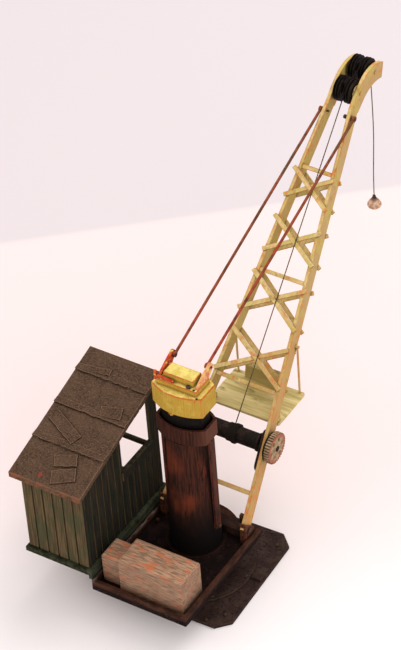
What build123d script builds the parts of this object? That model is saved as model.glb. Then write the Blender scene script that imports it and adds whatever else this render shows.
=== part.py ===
from build123d import *
import os
from math import atan2, cos, degrees, hypot, pi, radians, sin

# Toy yard crane at 1:87: a slewing deck on a square base plate, with a post, a fixed jib held by two
# stays, a hoist winch on the jib, a cabin on the left and ballast at the front.
# Millimetres, +Z up, +Y along the jib. The origin is on the slewing axis, at the base plate's underside.

# Base
PLATE_HALF = 19.88
PLATE_CORNER = 3.74
PLATE_TOP = 1.0
PLATE_TURN = 2.16  # the base's sides stand turned by this under the deck, in degrees
RING_RADIUS = 16.2
RING_TOP = 1.5
PEDESTAL_RADIUS = 9.0
PEDESTAL_TOP = 8.2
KING_PIN_RADIUS = 1.5
KING_PIN_RISE = 1.8  # above the deck's floor, inside the post
BASE_BOLT_RADIUS = 0.45
BOLT_HEAD = 0.4
PLATE_BOLTS = ((13.1, 18.7), (16.9, 14.9))  # repeated in all four corners
RING_BOLT_CIRCLE = 15.2
RING_BOLTS = 8

# Deck
DECK_HALF = 15.0
DECK_FRONT = -29.46
DECK_BACK = 9.61
DECK_BOTTOM = 9.08
DECK_FLOOR = 10.1
DECK_RIM = 12.64
RIM_WIDTH = 0.95
BEAM_FRONT = 5.6
TAIL_RADIUS = 12.2
TAIL_THICKNESS = 1.3
TURNTABLE_RADIUS = 9.6
TURNTABLE_GAP = 0.1  # between the pedestal and the turntable that runs on it
DECK_PEG = (-12.6, 0.15)

# Post, collar and cap
POST_FOOT_RADIUS = 7.3
POST_TOP_RADIUS = 5.75
COLLAR_BOTTOM = 50.0
COLLAR_TOP = 55.4
COLLAR_HALF = 7.9
CAP_BOTTOM = 60.0
CAP_TOP = 67.2
CAP_HALF = 7.85
CAP_STEP_TOP = 69.0
CAP_BLOCK_TOP = 71.0
COLLAR_RECESS = 1.8
STRAP_THICKNESS = 0.8
STRAP_FOOT = 17.8
STRAP_TOE = 1.4
STRAP_HALF = 1.1

# Jib: s runs up along the front edge of the arms, d runs square to it, down and away
JIB_ANGLE = 46.65
JIB_Y = -1.39
JIB_Z = 11.08
JIB_HALF = 13.95  # half width over the arms at s = 0
JIB_TAPER = 0.07836  # loss of half width along s
ARM_THICKNESS = 1.0
ARM_DEPTH = 4.2
ARM_START = 6.9
HEAD_START = 125.0
FOOT_SOCKET = 8.5
FOOT_PIN = (7.5, 2.1)
UPPER_AXLE = (136.7, 6.7)
LOWER_AXLE = (129.76, 1.9)
AXLE_RADIUS = 0.45
AXLE_END = 4.45
RUN_FIT = 0.05
STRUT_PLACES = (17.0, 45.1, 75.8, 106.2)
STRUT_DEPTH = 1.1
BRACE_WIDTH = 1.2
BRACE_OVER = 0.88
BRACE_UNDER = 0.6
# The crossed braces: for each pair, the (x, s) ends of the upper bar, then of the lower one
CROSSES = (
    ((-6.6, 105.4), (6.7, 96.4), (-7.0, 97.2), (6.1, 105.0)),
    ((-7.6, 91.3), (8.15, 80.8), (-7.9, 81.2), (7.5, 90.3)),
    ((-8.4, 75.2), (9.4, 62.6), (-9.4, 64.0), (8.8, 74.2)),
    ((-9.2, 58.6), (10.5, 46.2), (-10.5, 46.2), (9.2, 57.3)),
)

# Stays
STAY_RADIUS = 0.4
STAY_FOOT = (5.0, 4.4, 71.7)
STAY_HEAD_X = 5.2
STAY_HEAD = (122.6, 1.1)
STAY_EYE_RADIUS = 0.8
STAY_PIN_RADIUS = 0.3
STAY_PIN_INNER = 2.6  # where the head pins end, between the arms
STAY_PIN_REACH = 0.6  # how far the pins stand out past the stays' middle
LUG_THICKNESS = 0.8

# Sheaves, rope and hook weight
SHEAVE_RADIUS = 3.7
SHEAVE_GROOVE_RADIUS = 2.7
SHEAVE_WIDTH = 2.3
SHEAVE_X = 1.6
SHEAVE_RIM = 0.2
SPACER_RADIUS = 2.1
MIDDLE_SPACER_RADIUS = 1.3
SPACER_GAP = 0.1
ROPE_RADIUS = 0.16
ROPE_BEND = 3.0  # from the axis of a sheave or of the drum to the rope's middle
FALL_X = 0.98
DRUM_ROPE_X = 1.45
HOOK_TOP = 59.9
KNOT_HEIGHT = 1.1
WEIGHT_HEIGHT = 3.3

# Winch
WINCH = (30.9, 1.9)
DRUM_RADIUS = 2.35
DRUM_HALF = 9.2
DRUM_FLANGE = (0.3, 0.6)  # rise and thickness
WRAPS_X = (-1.0, 2.3)
WRAPS_DEPTH = 0.42
DRUM_AXLE_RADIUS = 0.8
BRAKE_RADIUS = 4.2
BRAKE_X = (12.05, 12.6)
GEAR_RADIUS = 4.6
GEAR_X = (12.75, 14.3)
GEAR_TEETH = 36
GEAR_HOLES = 6

# Platform behind the jib
PLATFORM_TOP = 34.9
PLATFORM_THICKNESS = 0.8
PLATFORM_HALF = 11.3
PLATFORM_Y = (27.5, 41.9)
HANGER_X = 9.9
HANGER_Y = 41.3
HANGER_TOP = 52.0

# Cabin
CABIN_X = (-35.71, -16.25)
CABIN_Y = (-28.2, 9.39)
CABIN_FLOOR = 15.31
CABIN_SLAB = 13.6
WALL = 0.9
PLANKS = 6
GROOVE_WIDTH = 0.5
GROOVE_DEPTH = 0.3
SIDE_PLANK = 2.9
SIDE_GROOVES = 12
WALL_REACH = 120.0  # longer than any wall is high, so a groove runs its whole height
CABIN_BEAMS_Y = (-24.0, -9.5, 5.0)
CABIN_BEAM_HALF = 1.2
CABIN_BEAM_UNDER = 10.6
ROOF_X = (-37.82, -14.98)
ROOF_Y = (-30.66, 11.23)
ROOF_Z = (43.56, 56.10)
ROOF_BOARD = 1.35
ROOF_FELT = 0.25
ROOF_LAPS = (-30.66, -18.6, -7.2, 3.5)

# Ballast
BALLAST_LARGE = ((-7.5, 12.8), (-27.0, -17.3), (DECK_FLOOR, 22.0))
BALLAST_SMALL = ((-13.9, -7.5), (-25.5, -17.9), (DECK_FLOOR, 19.5))

UP = (cos(radians(JIB_ANGLE)), sin(radians(JIB_ANGLE)))


def save(piece, label):
    """Labels a finished piece and writes it."""
    piece.part.label = label
    export_step(piece.part, f"parts/{label}.step")
    return piece.part


def on_jib(s, d):
    """The (y, z) place of a point s up the jib and d behind its front edge."""
    return JIB_Y + s * UP[0] + d * UP[1], JIB_Z + s * UP[1] - d * UP[0]


def block(x, y, z, mode=Mode.ADD):
    """Adds a box between the limits given along each axis."""
    middle = tuple((low + high) / 2 for low, high in (x, y, z))
    with Locations(middle):
        Box(x[1] - x[0], y[1] - y[0], z[1] - z[0], mode=mode)


def upright(radius, x, y, z, mode=Mode.ADD):
    """Adds a vertical cylinder between two heights."""
    with BuildSketch(Plane.XY.offset(z[0])) as section:
        with Locations((x, y)):
            Circle(radius)
    extrude(section.sketch, amount=z[1] - z[0], mode=mode)


def crosswise(radius, x, y, z, mode=Mode.ADD):
    """Adds a cylinder along X between two places."""
    with BuildSketch(Plane.YZ.offset(x[0])) as section:
        with Locations((y, z)):
            Circle(radius)
    extrude(section.sketch, amount=x[1] - x[0], mode=mode)


def rod(radius, start, end):
    """Adds a round bar from one point to another."""
    run = Vector(*end) - Vector(*start)
    with BuildSketch(Plane(origin=start, z_dir=run)) as section:
        Circle(radius)
    extrude(section.sketch, amount=run.length)


def cut(*pieces):
    """Takes finished pieces out of the part being made."""
    for piece in pieces:
        add(piece, mode=Mode.SUBTRACT)


def side_profile(points, x):
    """Adds a plate with an outline in Y and Z, between two places along X."""
    with BuildSketch(Plane.YZ.offset(x[0])) as section:
        with BuildLine():
            Polyline(*points, close=True)
        make_face()
    extrude(section.sketch, amount=x[1] - x[0])


def barrel(half, flat, bulge):
    """Draws a plan with flat sides and bowed front and back."""
    with BuildLine() as outline:
        Line((half, -flat), (half, flat))
        ThreePointArc((half, flat), (0, bulge), (-half, flat))
        Line((-half, flat), (-half, -flat))
        ThreePointArc((-half, -flat), (0, -bulge), (half, -flat))
    make_face(outline.edges())


def make_base():
    turned = Plane.XY.rotated((0, 0, PLATE_TURN))
    plate_bolt_places = [(i * x, j * y) for x, y in PLATE_BOLTS for i in (-1, 1) for j in (-1, 1)]
    with BuildPart() as base_bolts:
        with BuildSketch(turned.offset(PLATE_TOP)):
            with Locations(*plate_bolt_places):
                RegularPolygon(BASE_BOLT_RADIUS, 6)
        extrude(amount=BOLT_HEAD)
        with BuildSketch(turned.offset(RING_TOP)):
            with PolarLocations(RING_BOLT_CIRCLE, RING_BOLTS):
                RegularPolygon(BASE_BOLT_RADIUS, 6)
        extrude(amount=BOLT_HEAD)
    save(base_bolts, "base_bolts")

    with BuildPart() as king_pin:
        upright(KING_PIN_RADIUS, 0, 0, (PLATE_TOP, DECK_FLOOR + KING_PIN_RISE))
        chamfer(king_pin.edges().group_by(Axis.Z)[-1], 0.3)
    pin = save(king_pin, "king_pin")

    with BuildPart() as base_plate:
        with BuildSketch(turned):
            outline = Rectangle(2 * PLATE_HALF, 2 * PLATE_HALF)
            chamfer(outline.vertices(), PLATE_CORNER)
        extrude(amount=PLATE_TOP)
        fillet(base_plate.edges().group_by(Axis.Z)[-1], 0.25)
    save(base_plate, "base_plate")

    with BuildPart() as base_ring:
        upright(RING_RADIUS, 0, 0, (PLATE_TOP, RING_TOP))
        chamfer(base_ring.edges().group_by(Axis.Z)[-1], 0.2)
        cut(pin)
    save(base_ring, "base_ring")

    with BuildPart() as pedestal:
        upright(PEDESTAL_RADIUS, 0, 0, (RING_TOP, PEDESTAL_TOP))
        upright(PEDESTAL_RADIUS + 1.6, 0, 0, (RING_TOP, RING_TOP + 0.8))
        cut(pin)
    save(pedestal, "pedestal")

    with BuildPart() as base_clip:
        with BuildSketch(turned.offset(PLATE_TOP)):
            with Locations((18.0, 1.2)):
                Rectangle(3.0, 1.7)
        extrude(amount=0.9)
        fillet(base_clip.edges().group_by(Axis.Z)[-1], 0.2)
    save(base_clip, "base_clip")


def make_deck(tower_bolts):
    pin_hole = KING_PIN_RADIUS + RUN_FIT
    with BuildPart() as turntable:
        upright(TURNTABLE_RADIUS, 0, 0, (PEDESTAL_TOP + TURNTABLE_GAP, DECK_BOTTOM))
        upright(pin_hole, 0, 0, (PEDESTAL_TOP, DECK_BOTTOM), Mode.SUBTRACT)
    save(turntable, "turntable")

    inside = DECK_HALF - RIM_WIDTH
    with BuildPart() as deck_tray:
        block((-DECK_HALF, DECK_HALF), (DECK_FRONT, DECK_BACK), (DECK_BOTTOM, DECK_RIM))
        chamfer(deck_tray.edges().group_by(Axis.Z)[-1], 0.15)
        block(
            (-inside, inside),
            (DECK_FRONT + RIM_WIDTH, DECK_BACK + 1),
            (DECK_FLOOR, DECK_RIM + 1),
            Mode.SUBTRACT,
        )
        upright(POST_FOOT_RADIUS + 1.2, 0, 0, (DECK_FLOOR - 0.1, DECK_FLOOR + 0.5))
        upright(POST_FOOT_RADIUS, 0, 0, (DECK_FLOOR, DECK_FLOOR + 1), Mode.SUBTRACT)
        block((-inside, inside), (BEAM_FRONT, DECK_BACK), (DECK_FLOOR, DECK_RIM), Mode.SUBTRACT)
        upright(pin_hole, 0, 0, (DECK_BOTTOM, DECK_FLOOR), Mode.SUBTRACT)
    save(deck_tray, "deck_tray")

    with BuildPart() as post:
        with BuildSketch(Plane.XY.offset(DECK_FLOOR)):
            Circle(POST_FOOT_RADIUS)
        with BuildSketch(Plane.XY.offset(COLLAR_BOTTOM)):
            Circle(POST_TOP_RADIUS)
        loft()
        upright(pin_hole, 0, 0, (DECK_FLOOR, DECK_FLOOR + KING_PIN_RISE + 0.4), Mode.SUBTRACT)
        cut(tower_bolts)
    post_part = save(post, "post")

    with BuildPart() as tail_plate:
        upright(TAIL_RADIUS, 0, 0, (DECK_RIM - TAIL_THICKNESS - 0.1, DECK_RIM - 0.1))
        block((-20, 20), (-20, DECK_BACK), (0, 20), Mode.SUBTRACT)
    save(tail_plate, "tail_plate")

    with BuildPart() as deck_peg:
        upright(0.5, *DECK_PEG, (DECK_FLOOR, DECK_FLOOR + 1.3))
        fillet(deck_peg.edges().group_by(Axis.Z)[-1], 0.2)
    save(deck_peg, "deck_peg")
    return post_part


def make_tower_bolts():
    """Bolts that hold the strap feet to the post, one on the cap's step and one on the neck."""
    z = STRAP_FOOT + STRAP_TOE / 2
    with BuildPart() as tower_bolts:
        crosswise(0.25, (POST_FOOT_RADIUS - 1.6, COLLAR_HALF), 0, z)
        crosswise(0.55, (COLLAR_HALF, COLLAR_HALF + 0.5), 0, z)
        mirror(about=Plane.YZ)
        upright(0.5, 3.4, -2.8, (CAP_STEP_TOP, CAP_STEP_TOP + 0.6))
    return save(tower_bolts, "tower_bolts")


def make_tower(post_part, tower_bolts):
    with BuildPart() as side_straps:
        x = (COLLAR_HALF - STRAP_THICKNESS, COLLAR_HALF)
        y = (-STRAP_HALF, STRAP_HALF)
        block(x, y, (STRAP_FOOT, COLLAR_BOTTOM))
        block((POST_TOP_RADIUS, COLLAR_HALF), y, (STRAP_FOOT, STRAP_FOOT + STRAP_TOE))
        mirror(about=Plane.YZ)
        cut(post_part, tower_bolts)
    save(side_straps, "side_straps")

    with BuildPart() as collar:
        with BuildSketch(Plane.XY.offset(COLLAR_BOTTOM)):
            barrel(COLLAR_HALF, 2.8, 5.7)
        extrude(amount=COLLAR_TOP - COLLAR_BOTTOM)
        with BuildSketch(Plane.XY.offset(COLLAR_TOP - COLLAR_RECESS)):
            barrel(COLLAR_HALF - 0.8, 2.4, 4.9)
        extrude(amount=COLLAR_RECESS, mode=Mode.SUBTRACT)
        chamfer(collar.edges().group_by(Axis.Z)[0], 0.3)
    save(collar, "collar")

    with BuildPart() as neck:
        with BuildSketch(Plane.XY.offset(COLLAR_TOP - COLLAR_RECESS)):
            barrel(6.4, 2.0, 4.2)
        extrude(amount=CAP_BOTTOM - COLLAR_TOP + COLLAR_RECESS)
    save(neck, "neck")

    with BuildPart() as cap:
        with BuildSketch(Plane.XY.offset(CAP_BOTTOM)):
            barrel(CAP_HALF, 3.35, 5.7)
        extrude(amount=CAP_TOP - CAP_BOTTOM)
        chamfer(cap.edges().group_by(Axis.Z)[0], 0.5)
        chamfer(cap.edges().group_by(Axis.Z)[-1], 0.3)
        block((-6.2, 6.2), (-3.4, 3.4), (CAP_TOP, CAP_STEP_TOP))
        block((-4.6, 4.6), (-2.2, 2.2), (CAP_STEP_TOP, CAP_BLOCK_TOP))
        fillet(cap.edges().group_by(Axis.Z)[-1], 0.3)
    save(cap, "cap")

    with BuildPart() as cap_lever:
        block((-6.25, -1.0), (-3.2, -2.5), (CAP_STEP_TOP, CAP_STEP_TOP + 0.7))
        block((-6.95, -6.25), (-3.25, -2.45), (68.2, 71.2))
        fillet(cap_lever.edges().group_by(Axis.Z)[-1], 0.15)
    save(cap_lever, "cap_lever")


def make_stays():
    """Two rods with an eye at each end, their pins, and the lugs on the cap that hold them."""
    foot = Vector(*STAY_FOOT)
    head = Vector(STAY_HEAD_X, *on_jib(*STAY_HEAD))
    with BuildPart() as stay_pins:
        crosswise(STAY_PIN_RADIUS, (foot.X - STAY_PIN_REACH, foot.X + 1.5), foot.Y, foot.Z)
        crosswise(STAY_PIN_RADIUS, (STAY_PIN_INNER, head.X + STAY_PIN_REACH), head.Y, head.Z)
        mirror(about=Plane.YZ)
    pins = save(stay_pins, "stay_pins")

    with BuildPart() as stay_right:
        rod(STAY_RADIUS, foot, head)
        for end in (foot, head):
            crosswise(STAY_EYE_RADIUS, (end.X - STAY_RADIUS, end.X + STAY_RADIUS), end.Y, end.Z)
        cut(pins)
    right = save(stay_right, "stay_right")
    with BuildPart() as stay_left:
        mirror(right, about=Plane.YZ)
    save(stay_left, "stay_left")

    with BuildPart() as cap_lugs:
        x = (foot.X + STAY_RADIUS, foot.X + STAY_RADIUS + LUG_THICKNESS)
        outline = [(-2.6, CAP_STEP_TOP), (3.3, CAP_STEP_TOP), (5.4, 71.0), (4.4, 72.7), (3.0, 72.3)]
        outline.append((-1.2, 70.2))
        side_profile(outline, x)
        crosswise(1.15, x, foot.Y, foot.Z)
        mirror(about=Plane.YZ)
        cut(pins)
    save(cap_lugs, "cap_lugs")
    return pins


def arm_plane(offset=0.0):
    """The right arm's outer face: local x runs up the arm, local y down and away, z inwards."""
    along = Vector(-JIB_TAPER, *UP)
    across = Vector(0, UP[1], -UP[0])
    return Plane(
        origin=(JIB_HALF, JIB_Y, JIB_Z), x_dir=along, z_dir=along.cross(across)
    ).offset(offset)


def head_plane(x):
    """A plane square to X in which local x and y are the jib's s and d."""
    return Plane(origin=(x, JIB_Y, JIB_Z), x_dir=(0, *UP), z_dir=(-1, 0, 0))


def make_arms(stay_pins, foot_pins, hanger_pins):
    stretch = hypot(1, JIB_TAPER)
    head_x = JIB_HALF - JIB_TAPER * HEAD_START
    winch_y, winch_z = on_jib(*WINCH)
    with BuildPart() as jib_arm_right:
        with BuildSketch(arm_plane()):
            with Locations(((ARM_START + HEAD_START) / 2 * stretch, ARM_DEPTH / 2)):
                Rectangle((HEAD_START - ARM_START) * stretch, ARM_DEPTH)
        extrude(amount=ARM_THICKNESS)
        with BuildSketch(head_plane(head_x)):
            with BuildLine():
                Polyline((HEAD_START - 0.4, 4.6), (HEAD_START - 0.4, 0), (128.0, 0.2), (132.0, 0.9))
                ThreePointArc((132.0, 0.9), (137.9, 4.3), (140.4, 9.8))
                Line((140.4, 9.8), (136.3, 12.1))
                ThreePointArc((136.3, 12.1), (133.3, 7.9), (128.8, 5.5))
                Line((128.8, 5.5), (HEAD_START - 0.4, 4.6))
            make_face()
        extrude(amount=ARM_THICKNESS)
        for s, d in (UPPER_AXLE, LOWER_AXLE):
            crosswise(AXLE_RADIUS, (0, 9), *on_jib(s, d), Mode.SUBTRACT)
        crosswise(DRUM_AXLE_RADIUS + RUN_FIT, (5, 15), winch_y, winch_z, Mode.SUBTRACT)
        cut(stay_pins, foot_pins, hanger_pins)
    right = save(jib_arm_right, "jib_arm_right")
    with BuildPart() as jib_arm_left:
        mirror(right, about=Plane.YZ)
    left = save(jib_arm_left, "jib_arm_left")
    return left, right


def make_foot_pins():
    y, z = on_jib(*FOOT_PIN)
    with BuildPart() as foot_pins:
        crosswise(0.35, (11.0, 14.0), y, z)
        crosswise(0.6, (14.0, 14.5), y, z)
        mirror(about=Plane.YZ)
    return save(foot_pins, "foot_pins")


def make_feet(arms, foot_pins, post_part):
    """The beam across the deck's back, and the sockets and lugs that hold the arms on it."""
    inside = DECK_HALF - RIM_WIDTH
    with BuildPart() as back_beam:
        block((-inside, inside), (BEAM_FRONT, DECK_BACK), (DECK_FLOOR, DECK_RIM))
        fillet(back_beam.edges().group_by(Axis.Z)[-1].filter_by(Axis.X), 0.3)
        cut(post_part, *arms)
    save(back_beam, "back_beam")

    low = on_jib(FOOT_SOCKET, 4.9)
    high = on_jib(FOOT_SOCKET, -1.1)
    outline = (
        (high[0], DECK_FLOOR),
        high,
        low,
        (low[0], DECK_RIM),
        (BEAM_FRONT, DECK_RIM),
        (BEAM_FRONT, DECK_FLOOR),
    )
    with BuildPart() as foot_brackets:
        side_profile(outline, (12.0, 14.0))
        mirror(about=Plane.YZ)
        cut(*arms, foot_pins)
    save(foot_brackets, "foot_brackets")

    with BuildPart() as foot_lugs:
        side_profile(((5.6, DECK_RIM), (6.9, DECK_RIM), (6.9, 18.6), (6.3, 19.0), (5.6, 18.6)), (10.9, 11.75))
        mirror(about=Plane.YZ)
        cut(*arms, foot_pins)
    save(foot_lugs, "foot_lugs")


def trim_to_arms():
    """Cuts the part being made to the space between the arms' inner faces."""
    inner = arm_plane(ARM_THICKNESS)
    split(bisect_by=inner, keep=Keep.TOP)
    mirrored = Plane(
        origin=(-inner.origin.X, inner.origin.Y, inner.origin.Z),
        x_dir=(-inner.x_dir.X, inner.x_dir.Y, inner.x_dir.Z),
        z_dir=(-inner.z_dir.X, inner.z_dir.Y, inner.z_dir.Z),
    )
    split(bisect_by=mirrored, keep=Keep.TOP)


def front_plane(d):
    """A plane along the jib, d behind its front edge; local x is X, local y is s, z faces front."""
    y, z = on_jib(0, d)
    return Plane(origin=(0, y, z), x_dir=(1, 0, 0), z_dir=(0, -UP[1], UP[0]))


def brace(start, end, plane, thickness):
    """Adds one flat bar between two (x, s) points, standing on the given plane."""
    run = (end[0] - start[0], end[1] - start[1])
    with BuildSketch(plane) as section:
        with Locations(((start[0] + end[0]) / 2, (start[1] + end[1]) / 2)):
            Rectangle(hypot(*run), BRACE_WIDTH, rotation=degrees(atan2(run[1], run[0])))
    extrude(section.sketch, amount=thickness)


def make_jib_frame():
    with BuildPart() as jib_struts:
        for s in STRUT_PLACES:
            with BuildSketch(front_plane(0.1)):
                with Locations((0, s)):
                    Rectangle(2 * JIB_HALF, BRACE_WIDTH)
            extrude(amount=-STRUT_DEPTH)
        trim_to_arms()
    save(jib_struts, "jib_struts")

    for label, plane, way in (
        ("front_braces", front_plane(0), 1),
        ("back_braces", front_plane(ARM_DEPTH), -1),
    ):
        with BuildPart() as braces:
            for over_start, over_end, under_start, under_end in CROSSES:
                brace(over_start, over_end, plane, way * BRACE_OVER)
                brace(under_start, under_end, plane, way * BRACE_UNDER)
        save(braces, label)


def make_head(arms):
    with BuildPart() as head_axles:
        for s, d in (UPPER_AXLE, LOWER_AXLE):
            y, z = on_jib(s, d)
            crosswise(AXLE_RADIUS, (-AXLE_END, AXLE_END), y, z)
    axles = save(head_axles, "head_axles")

    inner = JIB_HALF - JIB_TAPER * HEAD_START - ARM_THICKNESS
    between = SHEAVE_X - SHEAVE_WIDTH / 2 - SPACER_GAP
    beside = SHEAVE_X + SHEAVE_WIDTH / 2 + SPACER_GAP
    with BuildPart() as sheave_spacers:
        for s, d in (UPPER_AXLE, LOWER_AXLE):
            y, z = on_jib(s, d)
            crosswise(MIDDLE_SPACER_RADIUS, (-between, between), y, z)
            crosswise(SPACER_RADIUS, (beside, inner), y, z)
            crosswise(SPACER_RADIUS, (-inner, -beside), y, z)
        cut(axles)
    save(sheave_spacers, "sheave_spacers")

    for level, (s, d) in (("upper", UPPER_AXLE), ("lower", LOWER_AXLE)):
        y, z = on_jib(s, d)
        for side, x in (("left", -SHEAVE_X), ("right", SHEAVE_X)):
            near, far = x - SHEAVE_WIDTH / 2, x + SHEAVE_WIDTH / 2
            with BuildPart() as sheave:
                crosswise(SHEAVE_GROOVE_RADIUS, (near, far), y, z)
                for rim in (near, x - SHEAVE_RIM / 2, far - SHEAVE_RIM):
                    crosswise(SHEAVE_RADIUS, (rim, rim + SHEAVE_RIM), y, z)
                crosswise(AXLE_RADIUS + RUN_FIT, (near, far), y, z, Mode.SUBTRACT)
            save(sheave, f"sheave_{level}_{side}")


def make_winch():
    y, z = on_jib(*WINCH)
    with BuildPart() as drum_axle:
        crosswise(DRUM_AXLE_RADIUS, (-12.5, 14.6), y, z)
        crosswise(1.2, (-12.5, -11.95), y, z)
    axle = save(drum_axle, "drum_axle")

    with BuildPart() as drum:
        crosswise(DRUM_RADIUS, (-DRUM_HALF, DRUM_HALF), y, z)
        rise, thickness = DRUM_FLANGE
        crosswise(DRUM_RADIUS + rise, (DRUM_HALF - thickness, DRUM_HALF), y, z)
        crosswise(DRUM_RADIUS + rise, (-DRUM_HALF, thickness - DRUM_HALF), y, z)
        cut(axle)
    save(drum, "drum")

    with BuildPart() as rope_wraps:
        crosswise(DRUM_RADIUS + WRAPS_DEPTH, WRAPS_X, y, z)
        crosswise(DRUM_RADIUS, WRAPS_X, y, z, Mode.SUBTRACT)
    save(rope_wraps, "rope_wraps")

    with BuildPart() as brake_disc:
        crosswise(BRAKE_RADIUS, BRAKE_X, y, z)
        cut(axle)
    save(brake_disc, "brake_disc")

    with BuildPart() as winch_gear:
        with BuildSketch(Plane.YZ.offset(GEAR_X[0])):
            with Locations((y, z)):
                Circle(GEAR_RADIUS - 0.35)
                with PolarLocations(GEAR_RADIUS - 0.25, GEAR_TEETH):
                    Rectangle(0.5, 0.42)
                with PolarLocations(2.75, GEAR_HOLES):
                    Circle(0.62, mode=Mode.SUBTRACT)
        extrude(amount=GEAR_X[1] - GEAR_X[0])
        crosswise(1.4, (BRAKE_X[1], GEAR_X[1] + 0.15), y, z)
        cut(axle)
    save(winch_gear, "winch_gear")

    with BuildPart() as drum_brackets:
        stretch = hypot(1, JIB_TAPER)
        with BuildSketch(arm_plane(ARM_THICKNESS)):
            with Locations((29.2 * stretch, WINCH[1])):
                SlotOverall(11.6, 3.6)
        extrude(amount=0.8)
        crosswise(DRUM_AXLE_RADIUS + RUN_FIT, (5, 15), y, z, Mode.SUBTRACT)
        mirror(about=Plane.YZ)
    save(drum_brackets, "drum_brackets")


def make_platform(arms):
    low = PLATFORM_TOP - PLATFORM_THICKNESS
    with BuildPart() as platform_plate:
        block((-PLATFORM_HALF, PLATFORM_HALF), PLATFORM_Y, (low, PLATFORM_TOP))
        fillet(platform_plate.edges().filter_by(Axis.Z), 0.5)
    save(platform_plate, "platform_plate")

    with BuildPart() as platform_brackets:
        block((9.7, 10.7), (26.0, 29.6), (PLATFORM_TOP, 36.3))
        mirror(about=Plane.YZ)
        cut(*arms)
    save(platform_brackets, "platform_brackets")

    with BuildPart() as platform_saddle:
        outline = ((38.4, 34.9), (41.7, 34.9), (41.7, 39.4), (41.0, 40.6), (39.9, 40.8), (39.3, 40.2))
        side_profile(outline, (-6.2, 4.6))
    save(platform_saddle, "platform_saddle")


def make_hangers():
    with BuildPart() as platform_hangers:
        upright(0.3, HANGER_X, HANGER_Y, (PLATFORM_TOP, HANGER_TOP))
        crosswise(0.45, (8.9, HANGER_X + 0.5), HANGER_Y, HANGER_TOP - 0.3)
        mirror(about=Plane.YZ)
    return save(platform_hangers, "platform_hangers")


def make_rope():
    """The rope leaves the drum's front, goes over both right sheaves and hangs down to the weight."""
    drum, lower, upper = (on_jib(*place) for place in (WINCH, LOWER_AXLE, UPPER_AXLE))
    fall_y = upper[0] + ROPE_BEND
    drift = (DRUM_ROPE_X - FALL_X) / (fall_y - drum[0])
    plane = Plane(origin=(FALL_X, fall_y, 0), x_dir=(-drift, 1, 0), z_dir=(1, drift, 0))
    rise = degrees(atan2(lower[1] - drum[1], lower[0] - drum[0]))
    level = degrees(atan2(upper[1] - lower[1], upper[0] - lower[0]))
    first = hypot(lower[0] - drum[0], lower[1] - drum[1])
    second = hypot(upper[0] - lower[0], upper[1] - lower[1])
    start = (
        drum[0] - fall_y - ROPE_BEND * sin(radians(rise)),
        drum[1] + ROPE_BEND * cos(radians(rise)),
    )
    with BuildPart() as hoist_rope:
        with BuildLine(plane) as route:
            lead = PolarLine(start, first, rise)
            over_lower = JernArc(lead @ 1, lead % 1, ROPE_BEND, level - rise)
            span = PolarLine(over_lower @ 1, second, level)
            JernArc(span @ 1, span % 1, ROPE_BEND, -90 - level)
        path = route.wire()
        with BuildSketch(Plane(origin=path @ 0, z_dir=path % 0)):
            Circle(ROPE_RADIUS)
        sweep(path=path)
    part = save(hoist_rope, "hoist_rope")
    end = path @ 1
    length = path.length
    print("hoist rope: bend radius", ROPE_BEND, "length", round(length, 2), "ends at", end)
    print("volume against section times length", part.volume / (pi * ROPE_RADIUS**2 * length))
    print("rope points:", *[corner @ 0 for corner in route.edges()])

    with BuildPart() as rope_fall:
        upright(ROPE_RADIUS, end.X, end.Y, (HOOK_TOP, end.Z - 0.15))
    save(rope_fall, "rope_fall")
    print("fall length", round(end.Z - HOOK_TOP, 2))

    with BuildPart() as hook_knot:
        upright(0.75, end.X, end.Y, (HOOK_TOP - KNOT_HEIGHT, HOOK_TOP))
        fillet(hook_knot.edges().group_by(Axis.Z)[-1], 0.3)
    save(hook_knot, "hook_knot")

    with BuildPart() as hook_weight:
        top = HOOK_TOP - KNOT_HEIGHT
        foot = top - WEIGHT_HEIGHT
        with BuildSketch(Plane(origin=(end.X, end.Y, 0), x_dir=(1, 0, 0), z_dir=(0, -1, 0))):
            with BuildLine():
                Polyline((0, foot), (1.35, foot))
                ThreePointArc((1.35, foot), (1.95, foot + 0.4), (2.05, top - 2.2))
                ThreePointArc((2.05, top - 2.2), (1.65, top - 0.8), (0.7, top))
                Polyline((0.7, top), (0, top), (0, foot))
            make_face()
        revolve(axis=Axis((end.X, end.Y, 0), (0, 0, 1)))
    save(hook_weight, "hook_weight")


def roof_line(y, below=0.0):
    """The height of the roof's top at a place along Y, or of a layer that far under it."""
    slope = (ROOF_Z[1] - ROOF_Z[0]) / (ROOF_Y[1] - ROOF_Y[0])
    return ROOF_Z[0] + (y - ROOF_Y[0]) * slope - below * hypot(1, slope)


def grooves(plane, places, height):
    """Cuts upright joints between planks into the face that the plane lies in."""
    with BuildSketch(plane) as joints:
        for place in places:
            with Locations((place, height / 2)):
                Rectangle(GROOVE_WIDTH, height)
    extrude(joints.sketch, amount=-GROOVE_DEPTH, mode=Mode.SUBTRACT)


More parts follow.
